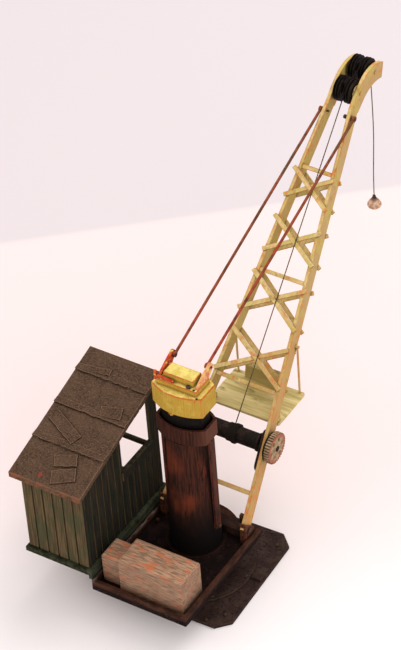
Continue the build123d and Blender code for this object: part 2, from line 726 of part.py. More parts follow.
def make_cabin():
    under = ROOF_BOARD + ROOF_FELT
    front, rear = CABIN_Y
    left, right = CABIN_X

    def wall_outline(start, end):
        return (
            (start, CABIN_FLOOR),
            (end, CABIN_FLOOR),
            (end, roof_line(end, under)),
            (start, roof_line(start, under)),
        )

    with BuildPart() as cabin_front_wall:
        side_profile(wall_outline(front, front + WALL), CABIN_X)
        plank = (right - left) / PLANKS
        places = [left + plank * (i + 1) for i in range(PLANKS - 1)]
        grooves(Plane.XZ.offset(-front), places, WALL_REACH)
    save(cabin_front_wall, "cabin_front_wall")

    side_places = [front + WALL + SIDE_PLANK * (i + 1) for i in range(SIDE_GROOVES)]
    with BuildPart() as cabin_left_wall:
        side_profile(wall_outline(front + WALL, rear), (left, left + WALL))
        outside = Plane(origin=(left, 0, 0), x_dir=(0, -1, 0), z_dir=(-1, 0, 0))
        grooves(outside, [-place for place in side_places], WALL_REACH)
    save(cabin_left_wall, "cabin_left_wall")

    with BuildPart() as cabin_right_wall:
        side_profile(wall_outline(front + WALL, rear), (right - WALL, right))
        outside = Plane(origin=(right, 0, 0), x_dir=(0, 1, 0), z_dir=(1, 0, 0))
        grooves(outside, side_places, WALL_REACH)
        with BuildSketch(Plane.YZ.offset(right - 2 * WALL)):
            with BuildLine():
                Polyline((-8.7, 35.0), (5.5, 35.0), (5.5, 49.8), (-8.7, 46.4), close=True)
            make_face()
        extrude(amount=3 * WALL, mode=Mode.SUBTRACT)
    save(cabin_right_wall, "cabin_right_wall")

    with BuildPart() as cabin_boards:
        block((right, right + 0.6), (-9.3, 5.6), (32.0, 35.0))
        block((left + WALL, right - WALL), (rear - WALL, rear), (28.4, 30.0))
    save(cabin_boards, "cabin_boards")

    with BuildPart() as cabin_floor:
        block((-36.5, -DECK_HALF), (-29.2, rear + 0.8), (CABIN_SLAB, CABIN_FLOOR))
        chamfer(cabin_floor.edges().group_by(Axis.Z)[-1], 0.2)
    save(cabin_floor, "cabin_floor")

    with BuildPart() as cabin_beams:
        for y in CABIN_BEAMS_Y:
            sides = (y - CABIN_BEAM_HALF, y + CABIN_BEAM_HALF)
            block((-35.5, -DECK_HALF), sides, (CABIN_BEAM_UNDER, CABIN_SLAB))
        block((-DECK_HALF - 1.1, -DECK_HALF), (-29.0, rear + 0.6), (12.2, CABIN_SLAB))
    save(cabin_beams, "cabin_beams")

    with BuildPart() as roof_board:
        outline = [(y, roof_line(y, ROOF_FELT)) for y in ROOF_Y]
        outline += [(y, roof_line(y, under)) for y in reversed(ROOF_Y)]
        side_profile(outline, ROOF_X)
    save(roof_board, "roof_board")

    with BuildPart() as roof_felt:
        for i, lap in enumerate(ROOF_LAPS):
            top = ROOF_LAPS[i + 1] if i + 1 < len(ROOF_LAPS) else ROOF_Y[1]
            outline = (
                (lap, roof_line(lap, ROOF_FELT)),
                (top, roof_line(top, ROOF_FELT)),
                (top, roof_line(top, 0.12)),
                (lap, roof_line(lap, -0.1)),
            )
            side_profile(outline, ROOF_X)
    save(roof_felt, "roof_felt")


def make_ballast():
    for label, (x, y, z), edge in (
        ("ballast_large", BALLAST_LARGE, 1.0),
        ("ballast_small", BALLAST_SMALL, 0.8),
    ):
        with BuildPart() as ballast:
            block(x, y, z)
            fillet(ballast.edges().group_by(Axis.Z)[-1], edge)
            fillet(ballast.edges().filter_by(Axis.Z), 0.35)
        save(ballast, label)


os.makedirs("parts", exist_ok=True)
make_base()
bolts = make_tower_bolts()
post_solid = make_deck(bolts)
make_tower(post_solid, bolts)
pins_of_stays = make_stays()
pins_of_feet = make_foot_pins()
hangers = make_hangers()
both_arms = make_arms(pins_of_stays, pins_of_feet, hangers)
make_feet(both_arms, pins_of_feet, post_solid)
make_jib_frame()
make_head(both_arms)
make_winch()
make_platform(both_arms)
make_rope()
make_cabin()
make_ballast()
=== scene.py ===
from math import atan2, cos, pi, radians, sin
import random

import bmesh
import bpy
from mathutils import Matrix, Vector


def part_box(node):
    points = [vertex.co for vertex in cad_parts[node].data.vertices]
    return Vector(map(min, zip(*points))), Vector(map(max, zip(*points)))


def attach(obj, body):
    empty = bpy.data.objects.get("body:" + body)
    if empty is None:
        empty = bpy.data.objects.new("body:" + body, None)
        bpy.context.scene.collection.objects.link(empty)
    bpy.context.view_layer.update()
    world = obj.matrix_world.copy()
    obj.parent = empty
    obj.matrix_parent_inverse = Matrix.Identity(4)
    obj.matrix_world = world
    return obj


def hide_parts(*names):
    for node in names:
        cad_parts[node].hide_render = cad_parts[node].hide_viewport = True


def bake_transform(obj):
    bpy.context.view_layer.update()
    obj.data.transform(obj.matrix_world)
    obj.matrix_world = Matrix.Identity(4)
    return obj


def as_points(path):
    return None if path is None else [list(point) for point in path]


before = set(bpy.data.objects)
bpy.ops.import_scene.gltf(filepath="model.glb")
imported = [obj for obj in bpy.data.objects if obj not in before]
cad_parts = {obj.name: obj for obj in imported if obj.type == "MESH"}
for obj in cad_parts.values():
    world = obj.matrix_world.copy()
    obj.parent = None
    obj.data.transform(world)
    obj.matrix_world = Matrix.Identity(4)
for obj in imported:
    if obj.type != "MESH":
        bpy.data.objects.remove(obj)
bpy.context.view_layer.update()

# The looks of a weathered toy yard crane, in metres in the CAD frame: +Z up, +Y along the jib.
# Small sizes are given in millimetres and turned into metres by MM.
MM = 0.001
JIB_ANGLE = radians(46.65)
UP = Vector((0, 0, 1))
RIGHT = Vector((1, 0, 0))
AHEAD = Vector((0, 1, 0))


def middle(node):
    """The centre of a CAD node's box."""
    low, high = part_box(node)
    return (low + high) / 2


# ---------------------------------------------------------------- camera

CAMERA_PLACE = Vector((0.35508, -0.50247, 0.61357))
CAMERA_AZIMUTH = radians(34.71)
CAMERA_ELEVATION = radians(40.58)
CAMERA_ROLL = radians(-4.56)
CAMERA_LENS = 173.25


def make_camera():
    """A long lens from the front right, above, with a slight roll."""
    data = bpy.data.cameras.new("camera")
    data.lens = CAMERA_LENS
    data.clip_start = 0.05
    data.clip_end = 20
    camera = bpy.data.objects.new("camera", data)
    bpy.context.scene.collection.objects.link(camera)
    a, e, r = CAMERA_AZIMUTH, CAMERA_ELEVATION, CAMERA_ROLL
    back = Vector((sin(a) * cos(e), -cos(a) * cos(e), sin(e)))
    level = Vector((cos(a), sin(a), 0))
    rise = back.cross(level)
    right = cos(r) * level + sin(r) * rise
    up = cos(r) * rise - sin(r) * level
    turn = Matrix((right, up, back)).transposed()
    camera.matrix_world = Matrix.Translation(CAMERA_PLACE) @ turn.to_4x4()
    bpy.context.scene.camera = camera


# ---------------------------------------------------------------- node helpers


def linear(colour):
    """A display colour, 0 to 255, as the linear values that shaders use."""

    def channel(value):
        value /= 255
        return value / 12.92 if value <= 0.04045 else ((value + 0.055) / 1.055) ** 2.4

    return (*(channel(v) for v in colour), 1.0)


class Paint:
    """Builds one finish: colours laid over each other by masks, with roughness and relief."""

    def __init__(self, name, specular=0.35):
        self.material = bpy.data.materials.new(name)
        self.material.use_nodes = True
        self.tree = self.material.node_tree
        self.shader = self.tree.nodes["Principled BSDF"]
        self.shader.inputs["Specular IOR Level"].default_value = specular
        place = self.add("ShaderNodeTexCoord").outputs["Object"]
        self.place = self.vector("SCALE", place, scale=1 / MM)
        self.geometry = self.add("ShaderNodeNewGeometry")

    def add(self, kind, **values):
        node = self.tree.nodes.new(kind)
        for name, value in values.items():
            setattr(node, name, value)
        return node

    def feed(self, socket, value):
        """Links an output, or sets a number or colour."""
        if isinstance(value, bpy.types.NodeSocket):
            self.tree.links.new(value, socket)
        elif value is not None:
            socket.default_value = value

    def vector(self, operation, a, b=None, scale=None):
        node = self.add("ShaderNodeVectorMath", operation=operation)
        self.feed(node.inputs[0], a)
        self.feed(node.inputs[1], b)
        if scale is not None:
            node.inputs["Scale"].default_value = scale
        return node.outputs["Value" if operation in ("DOT_PRODUCT", "LENGTH") else "Vector"]

    def math(self, operation, a, b, clamp=False):
        node = self.add("ShaderNodeMath", operation=operation)
        node.use_clamp = clamp
        self.feed(node.inputs[0], a)
        self.feed(node.inputs[1], b)
        return node.outputs[0]

    def both(self, a, b):
        """Where both masks are 1; b may be a plain strength."""
        return self.math("MULTIPLY", a, b, clamp=True)

    def either(self, a, b):
        """Where either mask is 1."""
        return self.math("MAXIMUM", a, b, clamp=True)

    def times(self, a, b):
        """A product that may leave 0 to 1."""
        return self.math("MULTIPLY", a, b)

    def plus(self, a, b):
        """A sum that may leave 0 to 1."""
        return self.math("ADD", a, b)

    def axis(self, letter):
        """Where the surface lies along X, Y or Z, in millimetres."""
        return self.add_split(self.place).outputs[letter]

    def facing(self, letter):
        """How far the surface faces along an axis, -1 to 1."""
        return self.add_split(self.geometry.outputs["True Normal"]).outputs[letter]

    def add_split(self, source):
        node = self.add("ShaderNodeSeparateXYZ")
        self.feed(node.inputs[0], source)
        return node

    def noise(self, size, stretch=(1, 1, 1), seed=0.0, detail=3.0, tilt=0.0):
        """Noise with blobs of that size in millimetres, drawn out along the axes by stretch."""
        mapping = self.add("ShaderNodeMapping", vector_type="POINT")
        self.feed(mapping.inputs["Vector"], self.place)
        mapping.inputs["Location"].default_value = (seed, seed * 1.7, -seed)
        mapping.inputs["Rotation"].default_value = (tilt, 0, 0)
        mapping.inputs["Scale"].default_value = tuple(1 / (size * s) for s in stretch)
        node = self.add("ShaderNodeTexNoise")
        self.feed(node.inputs["Vector"], mapping.outputs[0])
        node.inputs["Scale"].default_value = 1.0
        node.inputs["Detail"].default_value = detail
        node.inputs["Roughness"].default_value = 0.55
        return node.outputs["Fac"]

    def mask(self, value, low, high):
        """0 below low, 1 above high, smooth between; low above high turns it round."""
        node = self.add("ShaderNodeMapRange", interpolation_type="SMOOTHSTEP")
        self.feed(node.inputs["Value"], value)
        node.inputs["From Min"].default_value = low
        node.inputs["From Max"].default_value = high
        return node.outputs["Result"]

    def mix(self, amount, under, over):
        node = self.add("ShaderNodeMix", data_type="RGBA")
        self.feed(node.inputs["Factor"], amount)
        self.feed(node.inputs["A"], under if not isinstance(under, tuple) else linear(under))
        self.feed(node.inputs["B"], over if not isinstance(over, tuple) else linear(over))
        return node.outputs["Result"]

    def edges(self, radius=0.3, low=0.02, high=0.16):
        """1 on the piece's own corners, within the radius in millimetres."""
        bevel = self.add("ShaderNodeBevel", samples=6)
        bevel.inputs["Radius"].default_value = radius * MM
        aligned = self.vector("DOT_PRODUCT", bevel.outputs[0], self.geometry.outputs["Normal"])
        return self.mask(aligned, 1 - low, 1 - high)

    def crevice_shade(self, reach=1.5, low=0.85, high=0.35):
        """Painted shade: 1 deep in corners between pieces, within the reach in millimetres, found by
        ambient occlusion.
        """
        node = self.add("ShaderNodeAmbientOcclusion", samples=6)
        node.inputs["Distance"].default_value = reach * MM
        return self.mask(node.outputs["AO"], low, high)

    def near(self, place, radius):
        """1 at a place given in metres, fading out at the radius in millimetres."""
        offset = self.vector("SUBTRACT", self.place, tuple(v / MM for v in place))
        return self.mask(self.vector("LENGTH", offset), radius, radius * 0.6)

    def finish(self, colour, roughness, relief, height=0.03, metallic=0.0):
        """Joins the layers to the shader; roughness is (low, high) and height is in millimetres."""
        self.feed(self.shader.inputs["Base Color"], colour)
        rough = self.add("ShaderNodeMapRange")
        self.feed(rough.inputs["Value"], relief)
        rough.inputs["From Min"].default_value = 0.3
        rough.inputs["From Max"].default_value = 0.7
        rough.inputs["To Min"].default_value = roughness[0]
        rough.inputs["To Max"].default_value = roughness[1]
        self.feed(self.shader.inputs["Roughness"], rough.outputs["Result"])
        self.shader.inputs["Metallic"].default_value = metallic
        bump = self.add("ShaderNodeBump")
        bump.inputs["Strength"].default_value = 1.0
        bump.inputs["Distance"].default_value = height * MM
        self.feed(bump.inputs["Height"], relief)
        self.feed(self.shader.inputs["Normal"], bump.outputs["Normal"])
        return self.material


# ---------------------------------------------------------------- finishes


def dark_metal(name, body, light, dark, edge, edge_amount=0.75):
    """Weathered near-black paint with a dusty wash, rubbed edges and painted shade in the corners."""
    p = Paint(name, specular=0.1)
    colour = p.mix(p.mask(p.noise(3.2, seed=3), 0.42, 0.68), body, light)
    colour = p.mix(p.mask(p.noise(0.7, seed=8), 0.5, 0.7), colour, dark)
    rubbed = p.both(p.edges(0.28), p.mask(p.noise(1.1, seed=5), 0.38, 0.6))
    colour = p.mix(p.both(rubbed, edge_amount), colour, edge)
    # painted shade: the dark colour deep in corners between pieces
    colour = p.mix(p.crevice_shade(1.4), colour, dark)
    return p.finish(colour, (0.55, 0.9), p.noise(0.25, seed=2, detail=5), 0.05)


def base_paint():
    return dark_metal("base_black", (50, 34, 30), (64, 48, 41), (28, 19, 17), (108, 84, 70))


def bolt_paint():
    return dark_metal("dull_bolts", (58, 44, 36), (86, 66, 50), (32, 25, 21), (128, 98, 74))


def beam_paint():
    return dark_metal("beam_brown", (40, 24, 19), (62, 38, 29), (20, 13, 11), (112, 66, 46))


def foot_paint():
    return dark_metal("foot_brown", (70, 40, 30), (98, 56, 38), (30, 18, 14), (164, 84, 50))


def neck_paint():
    return dark_metal("neck_black", (14, 9, 8), (26, 17, 14), (6, 4, 4), (58, 38, 30), 0.5)


def winch_paint():
    return dark_metal("winch_black", (30, 23, 20), (54, 39, 32), (13, 10, 9), (92, 72, 57), 0.6)


def deck_paint():
    """Near-black deck, browner rims with rubbed tops, and a grey, broken edge by the cabin."""
    p = Paint("deck_brown", specular=0.06)
    floor = p.mix(p.mask(p.noise(2.6, seed=1), 0.4, 0.7), (18, 10, 9), (33, 20, 17))
    rim = p.mix(p.mask(p.noise(2.0, (2, 2, 0.6), seed=4), 0.38, 0.66), (44, 25, 18), (70, 43, 31))
    colour = p.mix(p.mask(p.axis("Z"), 10.4, 11.1), floor, rim)
    rubbed = p.both(p.edges(0.3), p.mask(p.noise(0.9, seed=6), 0.36, 0.58))
    colour = p.mix(p.both(rubbed, 0.8), colour, (132, 80, 58))
    cabin_side = p.both(p.mask(p.axis("X"), -13.6, -14.4), p.mask(p.axis("Z"), 11.4, 12.5))
    broken = p.both(cabin_side, p.mask(p.noise(1.6, (0.6, 2, 1), seed=9), 0.4, 0.58))
    colour = p.mix(p.both(broken, 0.8), colour, (118, 104, 94))
    flecks = p.mask(p.noise(0.5, seed=12, detail=1), 0.72, 0.76)
    colour = p.mix(p.both(flecks, 0.4), colour, (128, 104, 84))
    # painted shade: near-black in the corners between pieces
    colour = p.mix(p.crevice_shade(2.0), colour, (12, 8, 7))
    return p.finish(colour, (0.6, 0.92), p.noise(0.3, seed=2, detail=5), 0.06)


POST_RUST_AND_SHEEN = (  # clouds on the post, partly rust and partly a painted sheen: place in metres, reach in millimetres
    ((-0.0030, -0.0055, 0.0430), 6.5),
    ((0.0005, -0.0065, 0.0290), 5.5),
)


def post_paint():
    """Near-black brown with fine lines down the post, smoky rust in clouds with a painted sheen at the
    listed places, a painted highlight on the collar's right side, painted shade in the corners and a
    foot painted black as shade.
    """
    p = Paint("post_rust", specular=0.12)
    streaks = p.noise(0.42, (1, 1, 18), seed=2, detail=3)
    clouds = p.noise(4.5, (1, 1, 2), seed=7, detail=4)
    colour = p.mix(p.mask(streaks, 0.34, 0.66), (38, 19, 13), (70, 35, 24))
    # rust in clouds; at the listed places on the front the orange is also a painted sheen
    rust_and_sheen = p.mask(clouds, 0.6, 0.8)
    for place, reach in POST_RUST_AND_SHEEN:
        cloud = p.both(p.near(place, reach), p.mask(clouds, 0.3, 0.62))
        rust_and_sheen = p.either(rust_and_sheen, cloud)
    rust_and_sheen = p.both(rust_and_sheen, p.plus(0.4, p.times(streaks, 0.8)))
    colour = p.mix(p.both(rust_and_sheen, 0.65), colour, (122, 54, 31))
    colour = p.mix(p.mask(p.noise(1.3, (1, 1, 5), seed=15), 0.58, 0.74), colour, (22, 12, 10))
    # painted shade: the lower post painted near-black, its upper limit wandering with the clouds
    foot = p.plus(p.axis("Z"), p.times(clouds, 9.0))
    colour = p.mix(p.mask(foot, 37.0, 21.0), colour, (13, 7, 6))
    # painted highlight: a lighter brown on the collar's side that faces +X
    collar_highlight = p.both(p.mask(p.facing("X"), 0.3, 0.8), p.mask(p.axis("Z"), 49.9, 50.1))
    colour = p.mix(p.both(collar_highlight, 0.7), colour, (98, 60, 46))
    rubbed = p.both(p.edges(0.3), p.mask(p.noise(1.2, seed=5), 0.36, 0.56))
    colour = p.mix(p.both(rubbed, 0.7), colour, (128, 68, 50))
    # painted shade: near-black in the corners between pieces
    colour = p.mix(p.crevice_shade(1.6), colour, (14, 8, 7))
    relief = p.plus(p.times(streaks, 0.6), p.noise(0.3, seed=3, detail=5))
    return p.finish(colour, (0.5, 0.85), relief, 0.04)


def strap_paint():
    p = Paint("strap_rust", specular=0.15)
    streaks = p.noise(0.6, (1, 1, 12), seed=4, detail=4)
    colour = p.mix(p.mask(streaks, 0.35, 0.65), (44, 24, 18), (94, 43, 28))
    colour = p.mix(p.mask(p.noise(2.4, (1, 1, 3), seed=11), 0.52, 0.68), colour, (46, 22, 17))
    rubbed = p.both(p.edges(0.25), p.mask(p.noise(1.0, seed=6), 0.4, 0.6))
    colour = p.mix(p.both(rubbed, 0.6), colour, (154, 72, 40))
    return p.finish(colour, (0.5, 0.85), streaks, 0.04)


CAP_RIMS = (67.2, 69.0, 71.0)  # heights of the cap's three tops, in millimetres


def cap_paint():
    """Lemon yellow with orange rims, fine lines down the sides, a painted highlight on the tops, olive
    grime in patches and olive painted shade in the steps.
    """
    p = Paint("cap_cream", specular=0.15)
    # painted highlight: upward faces take a lighter yellow than the sides
    upward = p.mask(p.facing("Z"), 0.4, 0.8)
    streaks = p.noise(0.34, (1, 1, 12), seed=5, detail=3)
    side = p.mix(p.mask(streaks, 0.2, 0.8), (170, 135, 48), (190, 153, 61))
    side = p.mix(p.both(p.mask(p.noise(3.0, seed=41), 0.5, 0.7), 0.5), side, (200, 174, 84))
    top = p.mix(p.mask(p.noise(1.8, seed=2), 0.38, 0.66), (208, 186, 92), (230, 210, 122))
    colour = p.mix(upward, side, top)
    grime = p.mask(p.noise(1.6, (1.6, 1, 1), seed=9, detail=5), 0.56, 0.7)
    colour = p.mix(p.both(grime, 0.5), colour, (146, 134, 56))
    speckle = p.mask(p.noise(0.34, seed=21, detail=1), 0.68, 0.73)
    colour = p.mix(p.both(speckle, 0.7), colour, (126, 84, 38))
    drips = p.mask(p.noise(0.6, (1, 1, 7), seed=31), 0.6, 0.68)
    runs = p.both(drips, p.mask(p.axis("X"), 1.5, 4.0))
    colour = p.mix(p.both(runs, 0.8), colour, (198, 88, 44))
    rubbed = p.both(p.edges(0.34), p.mask(p.noise(1.3, seed=6), 0.22, 0.38))
    colour = p.mix(p.both(rubbed, 0.95), colour, (200, 80, 38))
    for rim in CAP_RIMS:
        below = p.mask(p.axis("Z"), rim - 0.5, rim - 0.3)
        line = p.both(below, p.mask(p.axis("Z"), rim + 0.4, rim + 0.2))
        line = p.both(line, p.mask(p.facing("Z"), 0.95, 0.75))
        line = p.both(line, p.mask(p.noise(1.6, seed=17), 0.3, 0.46))
        colour = p.mix(p.both(line, 0.85), colour, (190, 84, 40))
    # painted shade: olive in the steps and corners between pieces
    colour = p.mix(p.crevice_shade(1.1, 0.85, 0.4), colour, (134, 122, 44))
    relief = p.plus(p.times(streaks, 0.5), p.noise(0.22, seed=3, detail=5))
    return p.finish(colour, (0.55, 0.85), relief, 0.04)


def rust_paint():
    """Orange-red primer on the lugs and lever, pinker on the right, with cream showing through."""
    p = Paint("lug_rust", specular=0.15)
    left = p.mix(p.mask(p.noise(1.4, seed=3), 0.4, 0.62), (176, 56, 32), (200, 92, 48))
    right = p.mix(p.mask(p.noise(1.2, seed=5), 0.36, 0.6), (204, 112, 80), (222, 170, 112))
    colour = p.mix(p.mask(p.axis("X"), -1.0, 1.0), left, right)
    colour = p.mix(p.mask(p.noise(1.1, seed=14), 0.56, 0.66), colour, (218, 190, 104))
    # painted shade: dark red in the corners between pieces
    colour = p.mix(p.crevice_shade(0.9, 0.8, 0.4), colour, (92, 38, 22))
    return p.finish(colour, (0.5, 0.8), p.noise(0.25, seed=2, detail=5), 0.05)


def stay_paint():
    """Red-brown near the cap, turning olive and darker up the rod, with bare dark patches and a painted
    highlight on faces turned upward.
    """
    p = Paint("stay_rust", specular=0.2)
    colour = p.mix(p.mask(p.noise(1.6, seed=3), 0.36, 0.64), (108, 38, 22), (152, 56, 32))
    left_rod = p.mask(p.axis("X"), 1.0, -1.0)
    upper = p.plus(p.axis("Z"), p.times(p.noise(7.0, seed=8), 26.0))
    upper = p.plus(upper, p.times(left_rod, 9.0))
    colour = p.mix(p.mask(upper, 86.0, 114.0), colour, (92, 62, 30))
    colour = p.mix(p.mask(p.noise(3.4, seed=12), 0.54, 0.66), colour, (74, 46, 24))
    # painted highlight: a lighter red in patches on faces turned upward
    upward = p.both(p.mask(p.facing("Z"), 0.2, 0.8), p.mask(p.noise(2.0, seed=17), 0.4, 0.6))
    colour = p.mix(p.both(upward, 0.5), colour, (176, 74, 42))
    return p.finish(colour, (0.45, 0.78), p.noise(0.25, seed=2, detail=5), 0.04)


def jib_paint():
    """Yellowish cream with faint brush marks, olive grime, orange dry-brushing on the corners, and
    olive painted shade on the left arm's inner faces, the undersides and in the corners.
    """
    p = Paint("jib_cream", specular=0.15)
    up_the_jib = pi / 2 - JIB_ANGLE
    streaks = p.noise(0.8, (1, 1, 12), seed=5, detail=4, tilt=up_the_jib)
    colour = p.mix(p.mask(streaks, 0.3, 0.7), (198, 172, 108), (222, 198, 136))
    outer = p.both(p.mask(p.facing("X"), 0.6, 0.9), p.mask(p.axis("X"), 0.5, 1.5))
    colour = p.mix(p.both(outer, 0.8), colour, (178, 148, 100))
    # painted shade: olive on faces turned to +X on the left side, the left arm's inner faces
    inner = p.both(p.mask(p.facing("X"), 0.6, 0.9), p.mask(p.axis("X"), 0.5, -0.5))
    colour = p.mix(p.both(inner, 0.75), colour, (174, 152, 88))
    colour = p.mix(p.both(p.mask(p.noise(6.0, seed=2), 0.48, 0.66), 0.7), colour, (190, 172, 92))
    grime = p.mask(p.noise(1.8, seed=9, detail=5), 0.57, 0.7)
    colour = p.mix(p.both(grime, 0.45), colour, (134, 112, 60))
    right_arm = p.mask(p.axis("X"), 0.5, 1.5)
    low_right = p.both(right_arm, p.mask(p.axis("Z"), 62.0, 48.0))
    colour = p.mix(p.both(low_right, 0.4), colour, (188, 136, 76))
    # painted shade: dark olive on faces turned downward
    under = p.both(p.mask(p.facing("Z"), -0.1, -0.5), 0.8)
    colour = p.mix(under, colour, (104, 86, 38))
    brushed = p.mask(p.noise(3.0, (1, 1, 2.5), seed=14, tilt=up_the_jib), 0.4, 0.54)
    rubbed = p.both(p.edges(0.42, 0.01, 0.12), brushed)
    colour = p.mix(p.both(rubbed, 0.9), colour, (202, 104, 44))
    stains = p.mask(p.noise(2.3, seed=25), 0.55, 0.66)
    blotches = p.both(stains, p.mask(streaks, 0.34, 0.52))
    colour = p.mix(p.both(blotches, 0.75), colour, (208, 122, 62))
    head = p.both(p.mask(p.axis("Z"), 84.0, 90.0), p.mask(p.axis("Z"), 103.0, 98.0))
    red = p.both(p.both(head, p.edges(0.6, 0.01, 0.1)), p.mask(streaks, 0.4, 0.5))
    colour = p.mix(p.both(red, 0.85), colour, (186, 68, 30))
    # painted shade: olive in the corners between pieces
    colour = p.mix(p.crevice_shade(1.0, 0.8, 0.35), colour, (106, 88, 38))
    relief = p.plus(p.times(streaks, 0.6), p.noise(0.2, seed=3, detail=5))
    return p.finish(colour, (0.5, 0.82), relief, 0.03)


def platform_paint():
    """Cream with long olive bands across as painted shade, darker on the upright faces of the saddle as
    painted shade, and painted shade in the corners.
    """
    p = Paint("platform_cream", specular=0.15)
    # painted shade: long olive bands across the plate, with darker streaks along them
    shading_bands = p.noise(1.7, (14, 1, 1), seed=3, detail=3)
    colour = p.mix(p.mask(shading_bands, 0.36, 0.64), (182, 164, 100), (226, 206, 146))
    colour = p.mix(p.mask(p.noise(2.6, (3, 1, 1), seed=8, detail=5), 0.56, 0.7), colour, (144, 130, 72))
    # painted shade: darker olive on the upright faces of the saddle
    shaded_upright = p.both(p.mask(p.facing("Z"), 0.85, 0.5), p.mask(p.axis("Z"), 35.2, 36.4))
    colour = p.mix(p.both(shaded_upright, 0.6), colour, (140, 122, 56))
    rubbed = p.both(p.edges(0.3), p.mask(p.noise(1.6, seed=6), 0.44, 0.6))
    colour = p.mix(p.both(rubbed, 0.7), colour, (196, 126, 66))
    # painted shade: dark olive in the corners between pieces
    colour = p.mix(p.crevice_shade(1.4, 0.8, 0.3), colour, (92, 80, 40))
    return p.finish(colour, (0.55, 0.85), p.noise(0.3, (3, 1, 1), seed=2, detail=5), 0.05)


def sheave_paint():
    p = Paint("sheave_black", specular=0.12)
    colour = p.mix(p.mask(p.noise(1.4, seed=3), 0.4, 0.66), (19, 13, 11), (36, 27, 22))
    rubbed = p.both(p.edges(0.25), p.mask(p.noise(0.8, seed=5), 0.4, 0.6))
    colour = p.mix(p.both(rubbed, 0.5), colour, (92, 74, 60))
    # painted shade: near-black in the grooves and corners
    colour = p.mix(p.crevice_shade(0.9), colour, (10, 7, 6))
    return p.finish(colour, (0.4, 0.75), p.noise(0.3, seed=2, detail=5), 0.04)


def spacer_paint():
    """Cream spacers between black sheaves, darkened with grease in patches and with painted shade where
    they meet the sheaves.
    """
    p = Paint("spacer_cream", specular=0.2)
    colour = p.mix(p.mask(p.noise(1.2, seed=3), 0.4, 0.62), (118, 102, 66), (182, 162, 108))
    colour = p.mix(p.mask(p.noise(0.9, seed=9), 0.5, 0.66), colour, (44, 34, 26))
    # painted shade: dark where the spacers meet the sheaves
    colour = p.mix(p.crevice_shade(1.2), colour, (26, 19, 15))
    return p.finish(colour, (0.45, 0.8), p.noise(0.3, seed=2, detail=5), 0.04)


def gear_paint():
    """Grey cream face and teeth, a red-brown rim, dark round the spokes as painted shade."""
    p = Paint("gear_cream", specular=0.2)
    hub = middle("drum_axle")
    offset = p.vector("SUBTRACT", p.place, tuple(v / MM for v in hub))
    radius = p.vector("LENGTH", p.vector("MULTIPLY", offset, (0, 1, 1)))
    colour = p.mix(p.mask(p.noise(1.2, seed=3), 0.38, 0.64), (142, 116, 88), (180, 152, 116))
    ring = p.both(p.mask(radius, 3.1, 3.6), p.mask(p.facing("X"), 0.5, 0.8))
    rust = p.both(ring, p.mask(p.noise(1.5, seed=7), 0.34, 0.5))
    colour = p.mix(p.both(rust, 0.85), colour, (160, 78, 54))
    teeth = p.both(p.mask(radius, 4.05, 4.3), p.mask(radius, 4.62, 4.4))
    colour = p.mix(p.both(teeth, 0.5), colour, (88, 62, 48))
    # painted shade: dark round the spokes and in corners
    colour = p.mix(p.crevice_shade(0.8, 0.8, 0.3), colour, (48, 34, 27))
    return p.finish(colour, (0.45, 0.8), p.noise(0.3, seed=2, detail=5), 0.05)


def rope_paint():
    p = Paint("rope_twist", specular=0.1)
    colour = p.mix(p.mask(p.noise(0.5, seed=3), 0.38, 0.64), (66, 57, 40), (110, 97, 68))
    colour = p.mix(p.mask(p.axis("Z"), 42.0, 36.0), colour, (36, 30, 25))
    colour = p.mix(p.mask(p.axis("Z"), 101.5, 103.5), colour, (28, 22, 19))
    # painted shade: darker where the rope lies close against itself and other parts
    colour = p.mix(p.crevice_shade(0.3, 0.8, 0.3), colour, (40, 34, 24))
    return p.finish(colour, (0.7, 0.95), p.noise(0.12, seed=2, detail=3), 0.02)


def weight_paint():
    """Rusty cream weight, darker at the neck."""
    p = Paint("weight_cream", specular=0.4)
    colour = p.mix(p.mask(p.noise(1.3, seed=3), 0.38, 0.62), (166, 122, 96), (212, 182, 152))
    colour = p.mix(p.mask(p.noise(0.9, seed=9), 0.58, 0.68), colour, (176, 84, 48))
    low, high = (corner.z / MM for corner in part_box("hook_weight"))
    height = high - low
    colour = p.mix(p.mask(p.axis("Z"), high - 0.3 * height, high), colour, (110, 84, 66))
    return p.finish(colour, (0.3, 0.7), p.noise(0.3, seed=2, detail=5), 0.06)


def knot_paint():
    p = Paint("knot_dark", specular=0.1)
    colour = p.mix(p.mask(p.noise(0.4, seed=3), 0.4, 0.62), (44, 38, 30), (86, 74, 54))
    return p.finish(colour, (0.7, 0.95), p.noise(0.15, seed=2, detail=3), 0.03)


